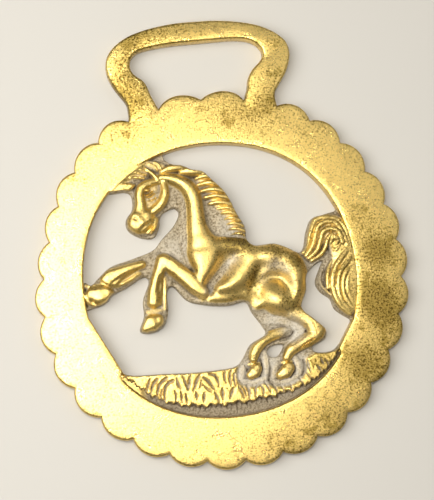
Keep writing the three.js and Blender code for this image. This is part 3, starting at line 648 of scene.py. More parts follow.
# Under the ring's own face it goes down again, so that it doesn't show through.
slope_height = RIM_THICKNESS + 0.02 - SLOPE_FALL * np.clip(from_edge - SLOPE_START, 0, None)
slope_height -= 0.5 * np.clip(-0.5 - from_edge, 0, None)
height = np.maximum(height, slope_height - 2 * beside)
print("the band is", round(height[band > 0.9].mean(), 2), "mm thick")

# %% [markdown]
# ## The grass
# The strip of grass is a raised plate with a ragged front edge over a sunk channel, which runs out
# towards its left end. Its blades are only the metal left between chisel cuts, in two rows, and a row of
# short cuts from the ring's middle outwards marks the channel. The hind hooves stand in a dip in the
# grass. Two waves of different length make the front ragged, because a plain wave would look machined.

# %% Outlines and chisel cuts of the grass
GRASS = WEB + 1.05
GRASS_LEVEL = -17.2  # the channel lies below this line
CHANNEL, CHANNEL_END = 1.7, 2.8  # the metal's thickness in the channel, and where it has run out
RUN_OUT_START, RUN_OUT_LENGTH = -12, 7
CHANNEL_CUTS = np.radians(np.arange(-116, -44, 2.3))  # which way the short cuts point
DIP_DEPTH, DIP_SOFTNESS, GRASS_EDGE = 0.75, 0.5, 0.25
GRASS_FRONT = [[21.3, -17.6], [18.8, -20.3], [16, -22.2], [12.6, -23.6], [7, -24.6], [0, -25.1], [-6, -25],
               [-11.4, -24.2], [-16, -22.4], [-19.4, -19.6], [-21.9, -17.2]]
GRASS_BACK = [[-23, -15.5], [23.4, -15.5]]  # under the gaps, which cut it off later
DIP = [[1.2, -15.4], [1, -17.6], [0.3, -19.6], [0.8, -21.4], [3.2, -22.2], [5.8, -21.8], [7.4, -22.6],
       [10.4, -22.8], [13, -21.8], [14.4, -20], [14.4, -18], [16.6, -16.8], [17.4, -15.6]]
GRASS_CUTS = [
    [[-17, -18.5, 0.22, 0.5], [-17.4, -19.4, 0.3, 0.7], [-17.9, -20.5, 0.2, 0.5]],
    [[-15.5, -18.5, 0.3, 0.6], [-16.6, -19.6, 0.32, 0.8], [-17.2, -21.4, 0.15, 0.5]],
    [[-13.7, -18.6, 0.3, 0.6], [-15, -19.4, 0.32, 0.8], [-15.7, -20.8, 0.28, 0.7], [-15.9, -22, 0.15, 0.5]],
    [[-14.8, -20.6, 0.18, 0.5], [-15.2, -21.6, 0.2, 0.6], [-15.3, -22.6, 0.15, 0.5]],
    [[-12.5, -19.2, 0.3, 0.6], [-13.7, -19.7, 0.32, 0.8], [-14.4, -21.2, 0.28, 0.8], [-14.6, -23, 0.2, 0.6]],
    [[-11.7, -18.8, 0.18, 0.4], [-11.6, -19.8, 0.36, 0.8], [-11.1, -20.9, 0.18, 0.5]],
    [[-10.4, -18.7, 0.2, 0.4], [-10.1, -19.8, 0.28, 0.8], [-9.7, -21.3, 0.2, 0.5]],
    [[-9, -18.9, 0.3, 0.5], [-9.3, -19.9, 0.4, 0.8], [-9.6, -21, 0.25, 0.6]],
    [[-7, -18.7, 0.2, 0.4], [-7.7, -19.6, 0.36, 0.8], [-8.3, -20.8, 0.25, 0.7], [-8.8, -21.8, 0.15, 0.4]],
    [[-6.9, -19.8, 0.15, 0.4], [-7.1, -20.6, 0.22, 0.6], [-7.3, -21.2, 0.12, 0.4]],
    [[-6.4, -19.3, 0.2, 0.5], [-5.5, -20.2, 0.35, 0.9], [-4.5, -21.8, 0.2, 0.5]],
    [[-6.7, -20.8, 0.15, 0.4], [-5.9, -21.6, 0.22, 0.6], [-5.1, -22.4, 0.15, 0.4]],
    [[-5.2, -18.7, 0.18, 0.4], [-4.1, -19.2, 0.28, 0.8], [-3.6, -20.4, 0.25, 0.7], [-3.5, -21.4, 0.15, 0.4]],
    [[-1.9, -18.5, 0.18, 0.5], [-2.3, -19.6, 0.25, 0.8], [-2.1, -20.8, 0.15, 0.5]],
    [[-0.7, -18.4, 0.2, 0.5], [-1.2, -19.8, 0.25, 0.8], [-1.2, -21.4, 0.18, 0.5]],
    [[-0.1, -19.2, 0.2, 0.5], [-0.4, -20.4, 0.25, 0.8], [-0.2, -21.6, 0.15, 0.5]],
    # lower row
    [[-12.4, -21.3, 0.15, 0.4], [-12.3, -22.2, 0.24, 0.8], [-12.5, -23.4, 0.15, 0.5]],
    [[-11.2, -21.5, 0.15, 0.4], [-11.2, -22.4, 0.24, 0.8], [-11.3, -23.6, 0.15, 0.5]],
    [[-10.3, -22, 0.15, 0.4], [-10.3, -22.8, 0.24, 0.8], [-10.2, -23.8, 0.15, 0.5]],
    [[-8.2, -21.9, 0.15, 0.4], [-8.2, -22.6, 0.34, 0.8], [-8.2, -23.3, 0.2, 0.5]],
    [[-6.5, -22.2, 0.18, 0.4], [-6.7, -23, 0.34, 0.8], [-6.9, -23.9, 0.2, 0.5]],
    [[-4.5, -22.6, 0.18, 0.5], [-4.2, -23.4, 0.3, 0.8], [-3.8, -24.4, 0.2, 0.5]],
    [[-2.9, -21.9, 0.18, 0.5], [-3, -22.9, 0.38, 0.8], [-3, -24, 0.2, 0.5]],
    [[-0.7, -22.1, 0.2, 0.5], [-1.2, -22.9, 0.36, 0.8], [-1.6, -23.9, 0.2, 0.5]],
    [[0.4, -21.9, 0.18, 0.5], [0.8, -22.9, 0.26, 0.8], [1.2, -24.1, 0.2, 0.5]],
    [[1.2, -22, 0.15, 0.4], [1.5, -22.8, 0.22, 0.7], [1.7, -23.7, 0.15, 0.5]],
    [[2, -21.8, 0.2, 0.5], [2.3, -22.9, 0.42, 0.9], [2.2, -24.3, 0.2, 0.6]],
    [[4.2, -22, 0.18, 0.5], [3.6, -22.9, 0.25, 0.7], [3.5, -24.2, 0.18, 0.5]],
    [[4.5, -22, 0.18, 0.5], [5.2, -22.8, 0.25, 0.7], [5.1, -24.2, 0.18, 0.5]],
    [[5.7, -21.7, 0.18, 0.5], [6.2, -22.6, 0.25, 0.7], [6.6, -23.6, 0.18, 0.5]],
    [[6.4, -21, 0.18, 0.5], [7.3, -22.4, 0.28, 0.8], [8, -23.8, 0.2, 0.6]],
    [[9, -22.9, 0.15, 0.4], [9.2, -23.5, 0.2, 0.6], [9.2, -24.2, 0.15, 0.5]],
    [[10.8, -22.7, 0.15, 0.4], [10.9, -23.3, 0.2, 0.6], [11, -23.9, 0.15, 0.5]],
    [[12.8, -21.9, 0.15, 0.4], [13.2, -22.6, 0.22, 0.6], [13.3, -23.2, 0.15, 0.5]],
    # right of the hooves
    [[14.8, -18.4, 0.2, 0.4], [14.9, -19.4, 0.3, 0.7], [15.1, -20.6, 0.18, 0.5]],
    [[14.2, -20.6, 0.15, 0.4], [14.7, -21.4, 0.22, 0.6], [15.2, -22, 0.15, 0.5]],
    [[17.5, -18.2, 0.18, 0.4], [17.7, -18.9, 0.26, 0.8], [17.9, -19.6, 0.15, 0.5]],
    [[16.6, -19.6, 0.18, 0.4], [17, -20.3, 0.28, 0.8], [17.4, -21, 0.18, 0.5]],
    [[18.3, -18.6, 0.15, 0.4], [18.8, -19.3, 0.22, 0.7], [19, -20, 0.15, 0.4]],
]
print(len(GRASS_CUTS), "chisel cuts part the blades")

# %% Raise the grass and sink the channel
front = smooth_line(GRASS_FRONT, 12)
place = np.arange(len(front))
front[:, 1] += 0.3 * np.sin(1.7 * place) + 0.2 * np.sin(0.73 * place + 1)
grass_depth = depth_inside(np.vstack([front, GRASS_BACK]))
dip = np.clip(depth_inside(smooth_line(DIP, 4)) / DIP_SOFTNESS, -1, 1) / 2 + 0.5
edge = np.clip(grass_depth / GRASS_EDGE, 0, 1) ** 0.6
grass = WEB + (GRASS - WEB - DIP_DEPTH * dip) * edge
cut(grass, GRASS_CUTS, wider=1.1, deeper=0.7)
sunk = (grass_depth < 0) & (grid_y < GRASS_LEVEL) & (from_edge > 0)
shallow = np.clip((RUN_OUT_START - grid_x) / RUN_OUT_LENGTH, 0, 1)
height[sunk] = (CHANNEL + (CHANNEL_END - CHANNEL) * shallow**2)[sunk]
for turn in CHANNEL_CUTS:
    foot, tip = 24.6 + 0.5 * math.sin(9 * turn), 26.2 + 0.6 * math.sin(23 * turn)
    ends = (foot, 0.25, 0.4), (tip, 0.15, 0.2)
    knots = [[out * math.cos(turn), out * math.sin(turn), *width_and_depth] for out, *width_and_depth in ends]
    cut(height, [knots])
height = np.where(grass_depth > 0, np.maximum(height, np.maximum(grass, WEB)), height)
print("the grass is", round(GRASS, 2), "mm thick, over a channel of", CHANNEL, "mm")

# %% [markdown]
# ## Hind legs and the tufts round the hooves
# The hind legs are laid like the fore legs. The near one folds at the hock, and the far one reaches
# forward under the belly. Soft low tufts stand round both hooves, and narrow grooves part them from the
# hooves and from each other. The hooves come last, so that they stand clear of the tufts.

# %% Hind legs, tufts and hooves
HIND_LEGS = [
    # inner side of the thigh, low and rough
    [[8, -9.6, 1.3, 0.6], [10.4, -10, 1.4, 0.65], [13, -10.8, 1.5, 0.65], [14.2, -12, 1.3, 0.65],
     [13.4, -13.6, 1.1, 0.6], [11.4, -14.6, 0.9, 0.55]],
    # near gaskin and cannon
    [[13, -8.4, 1.8, 2.0], [14.8, -9.4, 1.8, 2.0], [16.6, -10.9, 2.0, 2.1], [17.4, -12.6, 2.0, 2.1]],
    [[17.6, -13.2, 1.5, 2.0], [16, -14, 1.6, 2.0], [13.6, -15, 1.4, 1.9], [11.7, -16, 1.25, 1.9],
     [10.7, -17.3, 1.0, 1.6]],
    # far cannon
    [[11.6, -12, 1.1, 0.9], [9.4, -12.4, 1.2, 1.2], [7, -13.1, 1.25, 1.5], [5.1, -14.6, 1.2, 1.7],
     [4.2, -16, 1.1, 1.7], [4, -16.8, 0.95, 1.5]],
]
HOCK_CREASES = [
    [[16.6, -14.3, 0.2, 0.4], [15, -15, 0.22, 0.5], [13.6, -15.8, 0.2, 0.4]],
    [[10.2, -13.5, 0.6, 0.4], [11.6, -13, 0.9, 0.6], [12.6, -12.4, 0.6, 0.4]],
]
HOOF_TUFTS = [
    [[2.7, -17.2, 0.6, 0.45], [1.6, -18.8, 0.9, 0.55], [1.2, -20.4, 0.6, 0.5]],
    [[6.4, -15.8, 0.7, 0.5], [6.5, -17.4, 1.0, 0.6], [6.3, -19.8, 0.8, 0.55]],
    [[1.6, -20.9, 0.6, 0.5], [3.4, -21.5, 0.8, 0.55], [5.9, -20.9, 0.8, 0.55]],
    [[8.7, -18.3, 0.6, 0.5], [7.8, -19.7, 0.9, 0.55], [7.6, -21, 0.6, 0.5]],
    [[8, -21.9, 0.6, 0.5], [10.2, -22, 0.8, 0.55], [12.4, -21.2, 0.8, 0.55]],
    [[12.3, -17.4, 0.8, 0.5], [12.8, -19, 1.1, 0.6], [12.9, -20.6, 0.8, 0.55]],
    [[14.4, -17.2, 0.6, 0.5], [16, -16.9, 0.4, 0.5]],
]
TUFT_GROOVES = [
    [[2.2, -17.9, 0.25, 0.4], [2.6, -19, 0.3, 0.5], [2.3, -20.4, 0.25, 0.4]],
    [[5.4, -17, 0.25, 0.4], [5.5, -18.6, 0.3, 0.5], [4.9, -20.4, 0.25, 0.4]],
    [[7.2, -17.4, 0.25, 0.4], [7.1, -19.6, 0.3, 0.5], [6.6, -21.4, 0.25, 0.4]],
    [[8.8, -19.8, 0.25, 0.4], [8.3, -20.9, 0.3, 0.5], [8.9, -21.6, 0.25, 0.4]],
    [[11.9, -18.6, 0.25, 0.4], [12, -20, 0.3, 0.5], [11, -21.3, 0.25, 0.4]],
    [[14, -18.2, 0.25, 0.5], [14.2, -19.6, 0.3, 0.5], [13.4, -21.2, 0.25, 0.4]],
    # folds of the inner thigh
    [[15.2, -11.4, 0.25, 0.3], [15.3, -12.6, 0.3, 0.5], [14.2, -13.9, 0.25, 0.4], [12, -15, 0.25, 0.3]],
    [[8.2, -10.6, 0.25, 0.3], [10.6, -11, 0.3, 0.5], [12.6, -11.7, 0.25, 0.4]],
]
HOOVES = [
    [[4.4, -18.8, 1.15, 1.6], [3.9, -19.4, 1.3, 1.7], [3.1, -19.9, 1.0, 1.5]],
    [[10.8, -19.4, 1.3, 1.6], [10.1, -20.1, 1.4, 1.7], [9, -20.6, 1.0, 1.5]],
    [[3, -17.8, 0.45, 0.9], [5, -17.8, 0.45, 0.9]],
    [[9.7, -18.2, 0.45, 0.9], [11.5, -18.2, 0.45, 0.9]],
]
lay(height, HIND_LEGS, blend=0.15, roundness=0.5, flatness=3)
cut(height, HOCK_CREASES)
lay(height, HOOF_TUFTS, blend=0.12, roundness=0.8, base=WEB + 0.15)
cut(height, TUFT_GROOVES)
lay(height, HOOVES, blend=0.06, roundness=0.4, flatness=3.4)
print("the highest place of the relief is", round(height.max(), 2), "mm up")

# %% [markdown]
# ## The pierced gaps
# Four large gaps and a small one between the hind legs go right through. Each follows the ring for a
# stretch and then the horse's own outline back. The metal next to a gap is rubbed round, so the field
# falls off towards every outline before the gaps are cut.

# %% Outlines of the gaps
GAPS = {
    "above the back": ((25, 108), [
        [-8.8, 25], [-7.4, 24], [-5.4, 23.6], [-3.6, 22.6], [-1.4, 22], [0.2, 20.2], [2.1, 18.1],
        [3.4, 15.8], [4.4, 12.9], [5.8, 9.8], [5.9, 7.1], [7.2, 5.9], [11.2, 5.8], [13.6, 4.8],
        [16.2, 3.4], [17.2, 4.2], [18.3, 7.6], [19.7, 10], [21.9, 10.5], [24.7, 11],
    ]),
    "before the head": ((137, 175), [
        [-27.3, 2.1], [-26.3, 1.5], [-24.6, 2.8], [-22.2, 4.6], [-17.5, 5.8], [-13, 7.2], [-11.4, 8.9],
        [-8.2, 11.9], [-7.1, 14.2], [-8, 15.1], [-10.8, 13.9], [-11.5, 11.4], [-12.8, 9.6], [-15.4, 10],
        [-17.7, 11.8], [-17.8, 13.8], [-16.4, 15.6], [-16.2, 18.5], [-17, 19.3], [-20.2, 19.4],
    ]),
    "under the belly": ((187, 192), [
        [-24.6, -11.2], [-22.1, -16.3], [-20.8, -17.05], [-14, -17.6], [-7, -18.1], [0.8, -17.7],
        [2.2, -16.4], [4, -13.9], [7.4, -12], [6.9, -10.5], [5.1, -7.4], [4.2, -5.3], [0.4, -5.6],
        [-4.6, -4.8], [-7.6, -3.6], [-10.2, -0.5], [-11.2, -1], [-11.8, -6], [-13.2, -8.5], [-16, -9.3],
        [-17.6, -8.7], [-16.5, -5.8], [-16.3, -2.6], [-14.7, 1.2], [-15.4, 2], [-19.4, 0.2], [-22.4, -1],
        [-23.8, -2.4], [-27, -3.2],
    ]),
    "behind the hocks": ((-29, -25), [
        [24.8, -11], [23.1, -9.8], [21.9, -8.5], [21.4, -6.7], [19.5, -4.9], [18.8, -3], [20, -0.3],
        [20.8, 1.3], [18.8, 0.5], [17.1, -1.2], [16.5, -4.4], [15.2, -7.7], [17.4, -10.2], [19.5, -12.7],
        [19.2, -14.3], [16.2, -15.9], [16.6, -16.8], [20.4, -17], [22.3, -15.6],
    ]),
}
BETWEEN_HIND_LEGS = [[7, -15.8], [7.9, -14.7], [10.6, -14.7], [9.2, -16.8], [7.6, -16.8]]
gaps = [np.vstack([window_arc(*ends, beyond=0.4), smooth_line(knots)]) for ends, knots in GAPS.values()]
gaps.append(smooth_line(BETWEEN_HIND_LEGS, closed=True))
for name, gap in zip([*GAPS, "between the hind legs"], gaps):
    print(f"the gap {name} is", np.ptp(gap, axis=0).round(1), "mm")

# %% Round the metal off next to the gaps
ROUND_WIDTH = 1.7
EDGE_HEIGHT, ROUND_RISE = 1.35, 3.8
gap_distance = np.min([-depth_inside(gap) for gap in gaps], axis=0)
t = np.clip(gap_distance / ROUND_WIDTH, 0, 1)
height = np.minimum(height, EDGE_HEIGHT + ROUND_RISE * (1 - (1 - t) ** 2) ** 0.75)
print("next to a gap the metal is", EDGE_HEIGHT, "mm thick")

# %% [markdown]
# ## From the field to a solid plate
# The field becomes metal in four moves: a flat grid, every point lifted to its height, the grid's rim
# pulled down to the flat back, and one face to close it. Then the gaps are cut with straight slabs, and
# the ring and the hanger are joined on, all with exact booleans, so the brass ends up as one closed skin.

# %% Lift a grid and close it
HOLD = 1.2  # the plate runs on this far inside the ring
relief = bmesh.new()
columns, rows = len(x_axis) - 1, len(y_axis) - 1
bmesh.ops.create_grid(relief, x_segments=columns, y_segments=rows, size=1)
points = mesh_points(relief)
points[:, 0] = (points[:, 0] + 1) / 2 * (x_axis[-1] - x_axis[0]) + x_axis[0]
points[:, 1] = (points[:, 1] + 1) / 2 * (y_axis[-1] - y_axis[0]) + y_axis[0]


def read_field(field, x, y):
    """The field's value at any place, from the four grid places round it."""
    u = np.clip((x - x_axis[0]) / PITCH, 0, len(x_axis) - 1.001)
    v = np.clip((y - y_axis[0]) / PITCH, 0, len(y_axis) - 1.001)
    i, j = u.astype(int), v.astype(int)
    s, t = u - i, v - j
    low = field[j, i] * (1 - s) + field[j, i + 1] * s
    high = field[j + 1, i] * (1 - s) + field[j + 1, i + 1] * s
    return low * (1 - t) + high * t


points[:, 2] = read_field(height, points[:, 0], points[:, 1])
move_points(relief, points)
reach = WINDOW_RADIUS + HOLD
beyond = [v for v, p in zip(relief.verts, points) if math.hypot(p[0], p[1]) > reach]
bmesh.ops.delete(relief, geom=beyond, context="VERTS")
rim = [e for e in relief.edges if e.is_boundary]
pulled = bmesh.ops.extrude_edge_only(relief, edges=rim)["geom"]
for vert in (g for g in pulled if isinstance(g, bmesh.types.BMVert)):
    vert.co.z = 0
bmesh.ops.contextual_create(relief, geom=[e for e in relief.edges if e.is_boundary])
bmesh.ops.recalc_face_normals(relief, faces=relief.faces)
open_edges = sum(not e.is_manifold for e in relief.edges)
print("the relief has", len(relief.faces), "faces and", open_edges, "open edges")


# %% Cut the gaps and join the ring and the hanger
def piece_from(bm, name):
    mesh = bpy.data.meshes.new(name)
    bm.to_mesh(mesh)
    bm.free()
    obj = bpy.data.objects.new(name, mesh)
    bpy.context.scene.collection.objects.link(obj)
    return obj


def combine(target, others, operation):
    """Cuts or joins solids for good, and clears the tools away."""
    for other in others:
        modifier = target.modifiers.new(operation, "BOOLEAN")
        modifier.operation, modifier.solver, modifier.object = operation, "MANIFOLD", other
    bpy.context.view_layer.update()
    made = bpy.data.meshes.new_from_object(target.evaluated_get(bpy.context.evaluated_depsgraph_get()))
    target.modifiers.clear()
    target.data = made
    for other in others:
        bpy.data.objects.remove(other)


brass = piece_from(relief, "brass_casting")
combine(brass, [piece_from(slab(gap, -1, 8), "gap_cutter") for gap in gaps], "DIFFERENCE")
print("with the gaps cut:", len(brass.data.polygons), "faces")
combine(brass, [piece_from(ring, "ring"), piece_from(hanger, "hanger")], "UNION")
print("joined:", len(brass.data.polygons), "faces,", len(brass.data.vertices), "points")

# %% [markdown]
# ## Where the brass is polished, where it is grimy, and where shade is painted
# A brass is rubbed with metal polish for years. The cloth reaches the ring and the tops of the forms,
# which turn golden, and misses the low plate and the chisel cuts, which keep a rough grey-brown skin and
# old dried polish. Most of that depends on the shape, so it is worked out from the field of heights. The
# darkening of hollows, of the channel and of steep walls is partly that grime and partly painted shade.
# The rest is chance: where tarnish has come back, where polish never reached, and where it dried to a
# light grey crust. Those are soft round patches, each with a middle, a size and a strength, and the broad
# tarnish patches on the ring's right and lower right are partly painted shade. All of it is stored on the
# mesh's points as five attributes, which the material reads: low and rough, grime with painted shade,
# tarnish with painted shade, in the relief, and crusted.

# %% How far each place lies below its surroundings
grass_share = np.clip(grass_depth / 0.5, 0, 1) * (1 - dip)
solid_height = np.where(from_edge < 0, RIM_THICKNESS, height)
hollow_fine = blurred(solid_height, 0.6) - solid_height
hollow_wide = blurred(solid_height, 1.6) - solid_height
slope = np.hypot(*np.gradient(blurred(solid_height, 0.2), PITCH))
print("the deepest hollow is", round(float(hollow_wide.max()), 2), "mm below its surroundings")


# %% A soft step between two values
def smooth_step(low, high, value):
    t = np.clip((value - low) / (high - low), 0, 1)
    return t * t * (3 - 2 * t)


print("a smooth step passes its middle at", smooth_step(0, 1, 0.5))

# %% Patches that have nothing to do with the shape
# Middle, size and strength of the tarnished and speckled ones. The broad ones on the ring's right and lower
# right are partly painted shade: they darken the side where the key lamp's highlight falls off.
TARNISH_AND_SHADE = [
    # ring
    ((32, 2), 5.5, 1.0), ((31, -7), 4.5, 0.8), ((29, 10), 4, 0.55), ((24, -19), 5, 0.45),
    ((28, -9), 5, 0.35), ((22, 28), 7, 0.45), ((-27, 24), 4, 0.35), ((2, 33), 6, 0.45),
    ((8, -35), 7, 0.6), ((18, -30), 7, 0.6), ((28, -22), 7, 0.7), ((33, -12), 6, 0.7), ((-16, 30), 5, 0.4),
    # hanger
    ((-11.5, 50.2), 4.5, 0.9), ((-4, 50.6), 4, 0.6), ((14, 35.5), 4, 0.5), ((10, 33), 6, 0.6),
    ((-14.5, 38), 6, 1.0), ((-15.5, 43), 3, 0.45), ((16, 46), 4, 0.4),
    # horse, tail and grass
    ((2.2, 6.8), 2.2, 0.9), ((4.6, 6), 2.8, 0.9), ((6.4, -0.6), 2.4, 0.9), ((11, 3.4), 2.8, 0.7),
    ((15, 1), 2.4, 0.6), ((12.6, -6.8), 2.6, 0.7), ((23, 6), 5, 0.4), ((23.4, -3), 4, 0.3),
    ((17.4, -18.4), 3, 0.6), ((-2.2, 12), 1.6, 0.5),
]
# The same for those the cloth never reached, and for dried polish.
UNPOLISHED = [
    ((10.8, 1.4), 1.6, 0.5), ((12.7, -0.2), 1.4, 0.5), ((13.5, -2.6), 1.2, 0.4), ((0.6, 1.6), 1.8, 0.8),
    ((2.6, 3.4), 1.6, 0.6), ((-1.8, -0.4), 1.5, 0.8), ((-3.4, -2.4), 1.2, 0.7), ((9.4, 1), 2, 0.5),
    ((8, -1.4), 1.6, 0.4), ((12, -10.6), 2.4, 0.8), ((13.6, -12.6), 1.8, 0.8), ((9, -9.8), 1.8, 0.8),
    ((11.6, -13.4), 1.8, 0.9),
]
DRIED_POLISH = [
    ((1.8, -19.4), 2.6, 0.9), ((6.6, -18), 2.8, 1.0), ((12.8, -19), 2.4, 1.0), ((4.6, -21.4), 2.4, 0.8),
    ((10.4, -22), 2.4, 0.8), ((9, -9.6), 2.4, 0.8), ((13.6, -11.4), 2.4, 1.0), ((13.4, -13.8), 2, 1.0),
    ((-9, 6.4), 3.2, 0.6), ((2.6, 9), 3, 0.6), ((-0.6, 17), 1.4, 0.5), ((2.2, 3.2), 1.8, 0.8),
    ((-3.4, -2.6), 1.4, 0.8), ((12.4, 0.6), 1.6, 0.7), ((18, 1.6), 1.4, 0.8),
]
PATCH_FALL = 1.6  # as far out as its size, a patch is down to about a quarter


def patches_at(x, y, patches):
    """How strong the patches are at any place, added up."""
    total = 0
    for (px, py), size, strength in patches:
        spread = size / PATCH_FALL
        total = total + strength * np.exp(-((x - px) ** 2 + (y - py) ** 2) / (2 * spread**2))
    return total


print("tarnish on the ring's right:", round(float(patches_at(32, 0, TARNISH_AND_SHADE)), 2))

# %% Store the five attributes
mesh = brass.data
x, y, z = np.array([v.co for v in mesh.vertices]).T
fine, wide, steep = (read_field(field, x, y) for field in (hollow_fine, hollow_wide, slope))
in_window = smooth_step(-0.1, 0.15, depth_inside(WINDOW, x, y))
horse = in_window * smooth_step(0.6, 0.1, read_field(grass_share, x, y))
# Low places are low in the casting, in a hollow of the horse, or out of the cloth's reach.
low_metal = smooth_step(2.8, 2.35, z)
in_hollow = horse * 0.85 * smooth_step(0.15, 0.55, wide)
unpolished = np.clip(patches_at(x, y, UNPOLISHED), 0, 0.9)
low_places = in_window * np.maximum.reduce([low_metal, in_hollow, unpolished, 0.06 * horse])
# Grime and painted shade: the colour darkens in hollows, in the channel under the grass and on steep walls,
# partly as real grime and partly as painted shade, and it is left off the metal right beside a gap.
in_channel = smooth_step(0, -0.3, read_field(grass_depth, x, y)) * (y < GRASS_LEVEL)
grime_and_shade = 0.6 * smooth_step(0.1, 0.5, fine) + 0.42 * smooth_step(0.15, 0.9, wide)
grime_and_shade = in_window * (grime_and_shade + 0.35 * in_channel + 0.25 * smooth_step(0.8, 3, steep))
grime_and_shade = np.clip(grime_and_shade, 0, 1) * smooth_step(0.1, 0.8, read_field(gap_distance, x, y))
finishes = {
    "low_places": low_places,
    "grime_and_shade": grime_and_shade,
    "tarnish_and_shade": np.clip(patches_at(x, y, TARNISH_AND_SHADE) + 0.1 * horse, 0, 1),
    "relief": in_window,
    "dried_polish": low_places * np.clip(patches_at(x, y, DRIED_POLISH), 0, 1),
}
for name, values in finishes.items():
    stored = mesh.attributes.new(name, "FLOAT", "POINT")
    stored.data.foreach_set("value", values.astype(np.float32))
    print(f"{name}: {values.mean():.2f} on average")

# %% Scale to metres and smooth the shading
SHARP_ANGLE = math.radians(42)  # an edge that turns by more than this stays crisp
mesh.transform(Matrix.Scale(MM, 4))
mesh.shade_smooth()
mesh.set_sharp_from_angle(angle=SHARP_ANGLE)
print("finished size in mm:", [round(d / MM, 2) for d in brass.dimensions])

# %% [markdown]
# ## Cast brass, hand polished and tarnished
# The real finish is yellow brass, sand cast and polished by hand. To the eye it is a warm gold with a
# broad, soft highlight, because the polishing leaves fine scratches and the casting's grain. Where the
# cloth doesn't reach it is matt, grey-brown and rough, with a crumbly light grey crust where polish has
# dried. Tarnish adds olive brown clouds, and dark pits show as specks. One material carries all of it,
# because it is one casting: the attributes say where each finish is, and layers of colour are laid over
# the polished metal one by one, from tarnish up to grime. The tarnish layer and the grime layer also carry
# painted shade: the ring's darker right side, and darker hollows, channel and steep walls.

# %% Colours and a helper for nodes
def linear(hex_colour):
    """An sRGB hex colour as the linear colour that shaders use."""
    parts = [int(hex_colour[i : i + 2], 16) / 255 for i in (1, 3, 5)]
    return (*(p / 12.92 if p <= 0.04045 else ((p + 0.055) / 1.055) ** 2.4 for p in parts), 1)


def add_node(tree, kind, links=None, output=0, **settings):
    """Adds a shader node and gives one of its outputs. Settings are the node's own properties, and links say
    what its inputs take: values, or outputs of other nodes."""
    node = tree.nodes.new("ShaderNode" + kind)
    for name, value in settings.items():
        setattr(node, name, value)
    for name, source in (links or {}).items():
        if isinstance(source, bpy.types.NodeSocket):
            tree.links.new(source, node.inputs[name])
        else:
            node.inputs[name].default_value = source
    return node.outputs[output] if node.outputs else None


# Settings that many nodes share.
TIMES = {"operation": "MULTIPLY", "use_clamp": True}
TIMES_PLUS = {"operation": "MULTIPLY_ADD", "use_clamp": True}
SOFTLY = {"interpolation_type": "SMOOTHSTEP"}
POLISHED = linear("#E6C878")
# olive brown for tarnish and specks, and for the painted shade on the ring's right
TARNISH_AND_SHADE_OLIVE = linear("#8A7430")
CAST_SKIN = linear("#B4A994")
CAST_SKIN_DARK = linear("#5E5240")
# dark brown for pits, and for grime laid together with painted shade in hollows, the channel and on steep
# walls
GRIME_AND_SHADE_BROWN = linear("#46341A")
DRIED = linear("#CFC9BB")
print("polished brass in linear light:", [round(c, 3) for c in POLISHED])

# %% The stored attributes and four sizes of noise
cast_brass = bpy.data.materials.new("cast_brass_hand_polished")
cast_brass.use_nodes = True
tree = cast_brass.node_tree
tree.nodes.clear()
place = add_node(tree, "TexCoord", output="Object")
low, dirt_and_shade, patches, relief_share, crust = (
    add_node(tree, "Attribute", output="Fac", attribute_name=name)
    for name in ("low_places", "grime_and_shade", "tarnish_and_shade", "relief", "dried_polish")
)
# Size in mm, detail and roughness of each noise. Tarnish clouds are 2 to 6 mm across. Pits, polishing grain
# and the crumbs of the cast skin are 0.1 to 0.3 mm on the real brass, and are drawn a little coarser so that
# they show.
NOISES = (3.0, 4.0, 0.6), (0.38, 2.0, 0.7), (0.3, 2.0, 0.6), (0.42, 3.0, 0.75)
clouds, specks, grain, crumbs = (
    add_node(
        tree, "TexNoise", {"Vector": place, "Scale": 1 / (size * MM), "Detail": detail, "Roughness": rough}
    )
    for size, detail, rough in NOISES
)
print("the material reads", len(finishes), "attributes")

# %% Where tarnish and painted shade, specks and pits show
cloud_tops = add_node(tree, "MapRange", {"Value": clouds, "From Min": 0.5, "From Max": 0.72}, **SOFTLY)
faint = add_node(tree, "Math", {0: cloud_tops, 1: 0.35}, **TIMES)
# The tarnish attribute also holds painted shade on the ring's right and lower right.
cloudy = add_node(tree, "Math", {0: patches, 1: 0.75, 2: faint}, **TIMES_PLUS)
half_specks = add_node(tree, "Math", {0: specks, 1: 0.6}, **TIMES)
spotted = add_node(tree, "Math", {0: cloudy, 1: 0.6, 2: half_specks}, **TIMES_PLUS)
tarnish_and_shade_level = add_node(tree, "MapRange", {"Value": spotted, "From Min": 0.42, "From Max": 0.72}, **SOFTLY)
tarnish_and_shade_share = add_node(tree, "Math", {0: tarnish_and_shade_level, 1: 0.85}, **TIMES)
speck_tops = add_node(tree, "MapRange", {"Value": specks, "From Min": 0.5, "From Max": 0.64}, **SOFTLY)
crowding = {"Value": clouds, "From Min": 0.3, "From Max": 0.65, "To Min": 0.25, "To Max": 0.75}
crowded = add_node(tree, "MapRange", crowding, **SOFTLY)
speck_share = add_node(tree, "Math", {0: speck_tops, 1: crowded}, **TIMES)
deep_specks = add_node(tree, "Math", {0: patches, 1: 0.16, 2: specks}, **TIMES_PLUS)
pits = add_node(tree, "MapRange", {"Value": deep_specks, "From Min": 0.66, "From Max": 0.74}, **SOFTLY)
pit_share = add_node(tree, "Math", {0: pits, 1: 0.8}, **TIMES)
print("nodes so far:", len(tree.nodes))

